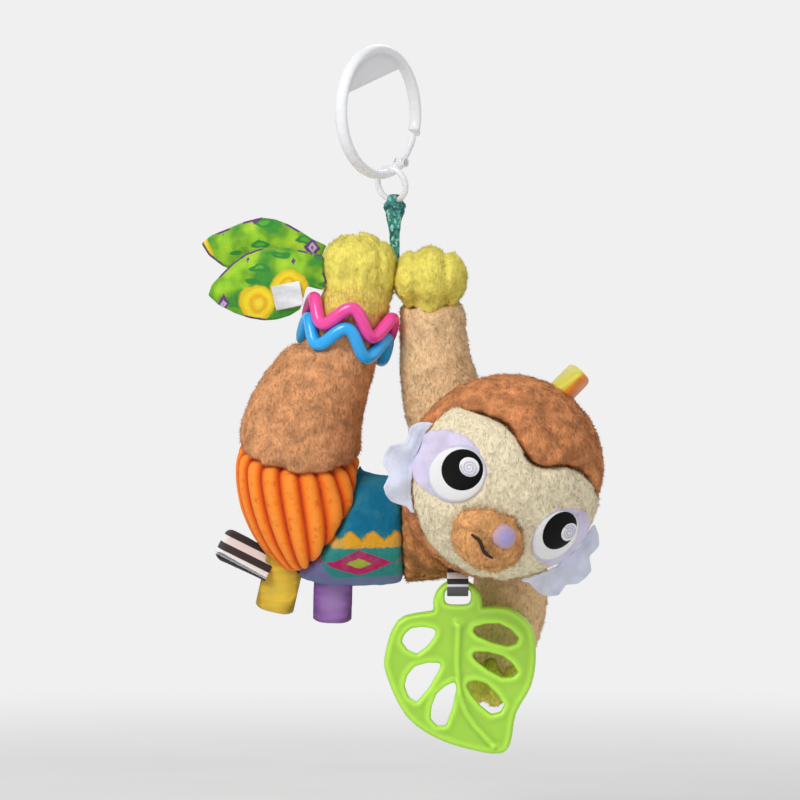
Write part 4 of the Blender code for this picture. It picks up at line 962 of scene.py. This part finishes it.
class SLOTH_OT_head(bpy.types.Operator):
    """Make the crown, the cream face and the muzzle"""

    bl_idname = "sloth.head"
    bl_label = "Head"

    def execute(self, context):
        down = HEAD.to_3x3() @ Vector((0, 0, -1))
        up = HEAD.to_3x3() @ Vector((0, 0, 1))
        finish = minky_plush("brown_crown_plush", tone("crown_plush"), 0.26)
        plush("crown", "head", finish, down, 41)
        finish = minky_plush("cream_minky_plush", tone("cream_plush"), 0.08)
        plush("face_panel", "head", finish, down, 42, long=1.9 * MM, rate=1.1, lift=0.35,
              most=0.8 * MM)
        finish = minky_plush("tan_minky_plush", tone("muzzle_plush"), 0.34)
        plush("muzzle", "head", finish, up, 43, long=2.7 * MM, rate=1.2, lift=0.5,
              most=0.6 * MM)
        return {"FINISHED"}


class SLOTH_OT_face(bpy.types.Operator):
    """Make the stitched eyes on their patches, the nose and the smile"""

    bl_idname = "sloth.face"
    bl_label = "Face"

    def execute(self, context):
        velour = short_velour("lavender_velour", tone("lavender"), "#eee6dc")
        rim = satin_stitch("pale_lavender_satin_stitch", "#e2dcf2")
        white = satin_stitch("white_satin_stitch", "#ffffff", (1, 0, -0.6), between=0.94)
        black = satin_stitch("black_satin_stitch", "#050406", (0.4, 0, 1), 0.5, 0.12)
        for name, side, shine in (("left", -1, (279.8, 213.5)), ("right", 1, (315.7, 237.3))):
            x0, z0 = [at / MM for at in spot(shine, face_y)]
            for part, centre, size, low, high, crown, fullness, finish, nodes, slot in (
                    ("_patch", (31.5 * side, -8), (17.2, 16.4), -1, 1.2, 0.3, 2.3, velour,
                     (name + "_eye_patch",), "lavender_velour"),
                    ("_rim", (29 * side, -9), (12.3, 14.3), 0.6, 1.7, 0.3, 2, rim, (), "lavender_velour"),
                    ("_white", (28.9 * side, -9), (11.6, 13.2), 0.8, 2.3, 0.3, 2, white,
                     (name + "_eye_white",), "white_thread"),
                    ("_iris_stitch", (28.6 * side, -6.4), (9.2, 10.4), 1, 3, 0.3, 2, black,
                     (name + "_iris",), "black_thread"),
                    ("_shine", (x0, z0), (4.9, 4.9), 1.2, 3.5, 0.2, 2, white,
                     (name + "_eye_glint",), "white_thread")):
                piece = lens(name + part, centre, size, low, high, crown, fullness)
                if part == "_patch":
                    inner = head_frame(points_of(piece))[:, 0] * -side
                    note(piece, "faded", np.clip((inner + 27 * MM) / (8 * MM), 0, 0.75))
                deliver(piece, finish, "head", nodes)
            route = []
            for step in range(60):
                angle, reach = math.tau * step / 24 * side, 0.5 + 0.055 * step
                x, z = (x0 + reach * math.cos(angle)) * MM, (z0 + reach * math.sin(angle)) * MM
                route.append((x, face_y(x, z) - 3.35 * MM, z))
            deliver(to_head(rod(name + "_swirl", route, 0.4 * MM)), rim, "head", ())
        x0, z0 = spot((293.0, 238.4), muzzle_y)
        nose = lens("nose_stitch", (x0 / MM, z0 / MM), (6.2, 5.8), -1, 2.6, 0.4, 2.4, muzzle_y)
        own = head_frame(points_of(nose))
        out = np.hypot(own[:, 0] - x0, own[:, 2] - z0)
        note(nose, "faded", np.clip((out - 3.2 * MM) / (2 * MM), 0, 0.85))
        pink_edged = satin_stitch("lavender_satin_stitch", tone("nose"), (1, 0, 0.3), edge="#d3a9ac")
        deliver(nose, pink_edged, "head", ("nose",))
        route = []
        for point in ((280.9, 237.3), (282.6, 238.4), (284.0, 239.5), (284.5, 241.2), (285.0, 243.1),
                      (286.4, 244.8), (288.6, 245.8)):
            x, z = spot(point, muzzle_y)
            route.append((x, muzzle_y(x, z) - 1.2 * MM, z))
        smile = to_head(rod("smile_thread", route, 0.9 * MM))
        brown = satin_stitch("dark_brown_thread", "#38221a")
        deliver(smile, brown, "head", ("smile_stitch",))
        return {"FINISHED"}


class SLOTH_OT_ear_frills(bpy.types.Operator):
    """Make the two scalloped frills at the sides of the face"""

    bl_idname = "sloth.ear_frills"
    bl_label = "Ear frills"

    def execute(self, context):
        finish = short_velour("pale_blue_velour", tone("frill"))
        for name in ("left", "right"):
            frill = puffed(name + "_frill", name + "_ear_frill", -FACE_WAY, 2.0 * MM, 0.8 * MM, 1.8 * MM)
            points = points_of(frill)
            own = head_frame(points)
            turn = np.arctan2(own[:, 2] + 9 * MM, np.abs(own[:, 0]) - 24 * MM)
            gathers = np.cos(turn * FRILL_GATHERS) * np.clip((np.abs(own[:, 0]) - 34 * MM) / (12 * MM), 0, 1)
            set_points(frill, points + np.array(FACE_WAY) * (gathers * GATHER_HEIGHT)[:, None])
            deliver(frill, finish, "head", (name + "_ear_frill",))
        return {"FINISHED"}


class SLOTH_OT_leaves(bpy.types.Operator):
    """Make the two printed leaves and the bare care label on the front one"""

    bl_idname = "sloth.leaves"
    bl_label = "Leaves and label"

    def execute(self, context):
        finish = printed_leaf_cotton("printed_leaf_cotton", tone("leaf_green"))
        front_bend = ((229, 147), (186, 153.4), -4, 2.5)
        for side, bend in (("front", front_bend), ("back", ((230, 141), (183, 134.6), 3, 2))):
            leaf = puffed(side + "_printed_leaf", "leaf_" + side, (0, 1, 0), 1.6 * MM, 0.7 * MM, 2.6 * MM)
            leaf_bend(leaf, *bend)
            deliver(leaf, finish, side + "_leaf", ("leaf_" + side,))
        label = moulded("bare_care_label", 0.3 * MM, 1, "care_label")
        leaf_bend(label, *front_bend)
        points = points_of(label)
        points[:, 1] -= 1.0 * MM - 0.8 * MM * np.sin((points[:, 0] + 0.05) * 260)
        set_points(label, points)
        finish = satin_ribbon("white_label_satin", "#e3e4e6")
        deliver(label, finish, "front_leaf", ("care_label",))
        return {"FINISHED"}


class SLOTH_OT_zigzag_rings(bpy.types.Operator):
    """Make the pink and the blue zigzag ring"""

    bl_idname = "sloth.zigzag_rings"
    bl_label = "Zigzag rings"

    def execute(self, context):
        joint = next(joint for joint in frame["joints"] if joint["name"] == "zigzag_spin")
        axis = -Vector(joint["axis"])
        across = axis.cross(Vector((0, 1, 0))).normalized()
        back = across.cross(axis)
        for name in ("pink", "blue"):
            low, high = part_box(name + "_ring")
            centre = (Vector(low) + Vector(high)) / 2
            points = []
            for step in range(ZIGZAG_STEPS):
                angle = math.tau * step / ZIGZAG_STEPS
                radial = across * math.cos(angle) + back * math.sin(angle)
                wave = axis * ZIGZAG_HEIGHT * math.sin(ZIGZAG_WAVES * angle)
                points.append(centre + radial * ZIGZAG_RADIUS - wave)
            ring = rod(name + "_zigzag_ring", points, ZIGZAG_TUBE, closed=True)
            note_relief(ring, 24, 0.6 * MM)
            finish = moulded_plastic(name + "_polypropylene", tone(name), 0.12)
            deliver(ring, finish, "zigzags", (name + "_ring",))
        return {"FINISHED"}


class SLOTH_OT_ribbon_tags(bpy.types.Operator):
    """Make the four loops of ribbon on the head and the seat"""

    bl_idname = "sloth.ribbon_tags"
    bl_label = "Ribbon tags"

    def execute(self, context):
        stripes = striped_ribbon("black_white_grosgrain", (0.45, 0, 0.89), sizes().stripe, 0.6)
        # The crown colours are painted highlights on the loops of ribbon.
        yellow = satin_ribbon("mustard_satin", "#d4ab1c", crown="#e6c63c")
        purple = satin_ribbon("purple_satin", "#7f4a9a", crown="#a987c0")
        two_tone = satin_ribbon("lime_and_orange_satin", "#f2881c", "#d6cd3e")
        for node, finish, body, slot, cut, sewn_in, body_piece in (
                ("striped_tag", stripes, "sloth", "striped_ribbon", (19, 58), 6, "corduroy_seat"),
                ("yellow_tag", yellow, "sloth", "yellow_ribbon", (19, 60), 6, "corduroy_seat"),
                ("purple_tag", purple, "sloth", "purple_ribbon", (19, 56), 6, "printed_panel_cloth"),
                ("head_tag", two_tone, "head", "head_tag_ribbon", (13, 58), 0, "crown_cloth")):
            tag = remeshed(node + "_ribbon", RIBBON_CELL, node)
            set_points(tag, relaxed(tag, 2))
            start, end = TAG_ENDS[node]
            out = (end - start).normalized()
            points = points_of(tag)
            off = points - np.array(start)
            along, wide = off @ np.array(out), off @ np.array(out.cross((0, 1, 0)))
            root = np.clip(1 - (along - along.min()) / (8 * MM), 0, 1)
            points -= np.array(out) * (root * sewn_in * MM)[:, None]
            reach = np.abs(wide).max()
            share = np.abs(wide) / reach
            far = np.clip(along / along.max(), 0, 1)
            points[:, 1] -= off[:, 1] * 0.6 * share ** 3 * far
            points -= np.array(out) * (share ** 4 * far ** 3 * 2.2 * MM)[:, None]
            set_points(tag, points)
            note(tag, "half", (wide + reach) / (2 * reach))
            # Painted light: how much painted highlight a loop's crown gets, and how much painted shade its
            # selvages get.
            note(tag, "fold", np.clip(1 - share ** 2 - np.abs(far - 0.55), 0, 1))
            deliver(tag, finish, body, (node,))
        return {"FINISHED"}


class SLOTH_OT_leaf_teether(bpy.types.Operator):
    """Make the lime silicone leaf teether and the striped strap that carries it"""

    bl_idname = "sloth.leaf_teether"
    bl_label = "Leaf teether"

    def execute(self, context):
        teether = remeshed("silicone_leaf", sizes().plastic_cell, "leaf_teether")
        points, normals = points_of(teether), points_of(teether, "normal")
        near = rim_distance(points, normals[:, 1])
        bead = 0.8 * MM * np.exp(-((near - 1.6 * MM) / (1.1 * MM)) ** 2)
        points[:, 1] += np.sign(normals[:, 1]) * bead * (np.abs(normals[:, 1]) > FLAT_FACING)
        set_points(set_points(teether, points), relaxed(teether, 7))
        note_relief(teether, 40, 0.8 * MM)
        finish = moulded_silicone("lime_silicone", tone("teether"))
        deliver(teether, finish, "teether", ("leaf_teether",))
        strap = moulded("striped_strap", 0.35 * MM, 2, "teether_strap")
        # The strap is painted dark grey below -244 mm as the shade on its loop.
        finish = striped_ribbon("striped_strap_grosgrain", (0, 0, 1), sizes().stripe * 0.8, 0.9, -244 * MM)
        deliver(strap, finish, "strap", ("teether_strap",))
        return {"FINISHED"}


PALE = "#f0f0f0"
AIM = Vector((13, -10, -154)) * MM
LAMP_DISTANCE = 1.4
CAMERA_DISTANCE = 2.5
CAMERA_RISE = math.radians(1.8)


class SLOTH_OT_stage(bpy.types.Operator):
    """Set the pale floor, the soft lights and the camera"""

    bl_idname = "sloth.stage"
    bl_label = "Stage"

    def execute(self, context):
        scene = context.scene
        bpy.ops.object.select_all(action="DESELECT")
        bpy.ops.mesh.primitive_plane_add(size=60, location=(0, 0, CAD_BOX[0][2] - 60 * MM))
        floor = context.active_object
        floor.name = "floor"
        floor.data.materials.append(painted_floor("pale_painted_board", PALE))
        for name, way, power, size in (
                ("key", (-0.75, -1.0, 1.05), 33, 1.2), ("fill", (1.1, -0.9, 0.35), 4, 1.8),
                ("back", (0.4, 1.1, 1.0), 6, 1.2)):
            light = bpy.data.lights.new(name, "AREA")
            light.energy = power
            light.size = size
            lamp = bpy.data.objects.new(name, light)
            scene.collection.objects.link(lamp)
            lamp.location = AIM + Vector(way) * LAMP_DISTANCE
            lamp.rotation_euler = (AIM - lamp.location).to_track_quat("-Z", "Y").to_euler()
        world = bpy.data.worlds.new("pale_studio")
        scene.world = world
        world.use_nodes = True
        tree = world.node_tree
        seen = add(tree, "LightPath", {}, "Is Camera Ray")
        for ray in ("Is Glossy Ray", "Is Transmission Ray"):
            seen = add(tree, "Math", {"operation": "MAXIMUM", 0: seen, 1: add(tree, "LightPath", {}, ray)})
        level = add(tree, "MapRange", {"Value": seen, "To Min": 0.5, "To Max": 1.0})
        tree.links.new(level, tree.nodes["Background"].inputs["Strength"])
        tree.nodes["Background"].inputs["Color"].default_value = linear(PALE)
        camera = bpy.data.cameras.new("camera")
        camera.lens = 233
        camera.sensor_width = 36
        camera.clip_start = 0.05
        eye = bpy.data.objects.new("camera", camera)
        scene.collection.objects.link(eye)
        eye.location = AIM + Vector((0, -math.cos(CAMERA_RISE), math.sin(CAMERA_RISE))) * CAMERA_DISTANCE
        eye.rotation_euler = (math.pi / 2 - CAMERA_RISE, 0, 0)
        scene.camera = eye
        scene.view_settings.view_transform = "Standard"
        return {"FINISHED"}


MAKERS = (SLOTH_OT_ring_clip, SLOTH_OT_hanging_ribbon, SLOTH_OT_mitts, SLOTH_OT_brown_plush, SLOTH_OT_arms,
          SLOTH_OT_corduroy_seat, SLOTH_OT_printed_panel, SLOTH_OT_head, SLOTH_OT_face, SLOTH_OT_ear_frills,
          SLOTH_OT_leaves, SLOTH_OT_zigzag_rings, SLOTH_OT_ribbon_tags, SLOTH_OT_leaf_teether, SLOTH_OT_stage)


class SLOTH_PT_panel(bpy.types.Panel):
    """The sizes, the colours and a button for each piece"""

    bl_idname = "SLOTH_PT_panel"
    bl_label = "Sloth toy"
    bl_space_type = "VIEW_3D"
    bl_region_type = "UI"
    bl_category = "Sloth toy"

    def draw(self, context):
        for group in (context.scene.sloth_sizes, context.scene.sloth_colours):
            box = self.layout.box()
            for name in group.bl_rna.properties.keys():
                if name not in ("rna_type", "name"):
                    box.prop(group, name)
        for maker in MAKERS:
            self.layout.operator(maker.bl_idname)


def register():
    for kind in (SlothSizes, SlothColours, *MAKERS, SLOTH_PT_panel):
        bpy.utils.register_class(kind)
    bpy.types.Scene.sloth_sizes = bpy.props.PointerProperty(type=SlothSizes)
    bpy.types.Scene.sloth_colours = bpy.props.PointerProperty(type=SlothColours)


def unregister():
    del bpy.types.Scene.sloth_sizes
    del bpy.types.Scene.sloth_colours
    for kind in reversed((SlothSizes, SlothColours, *MAKERS, SLOTH_PT_panel)):
        bpy.utils.unregister_class(kind)


def main():
    register()
    for maker in MAKERS:
        group, name = maker.bl_idname.split(".")
        getattr(getattr(bpy.ops, group), name)()


if __name__ == "__main__":
    main()
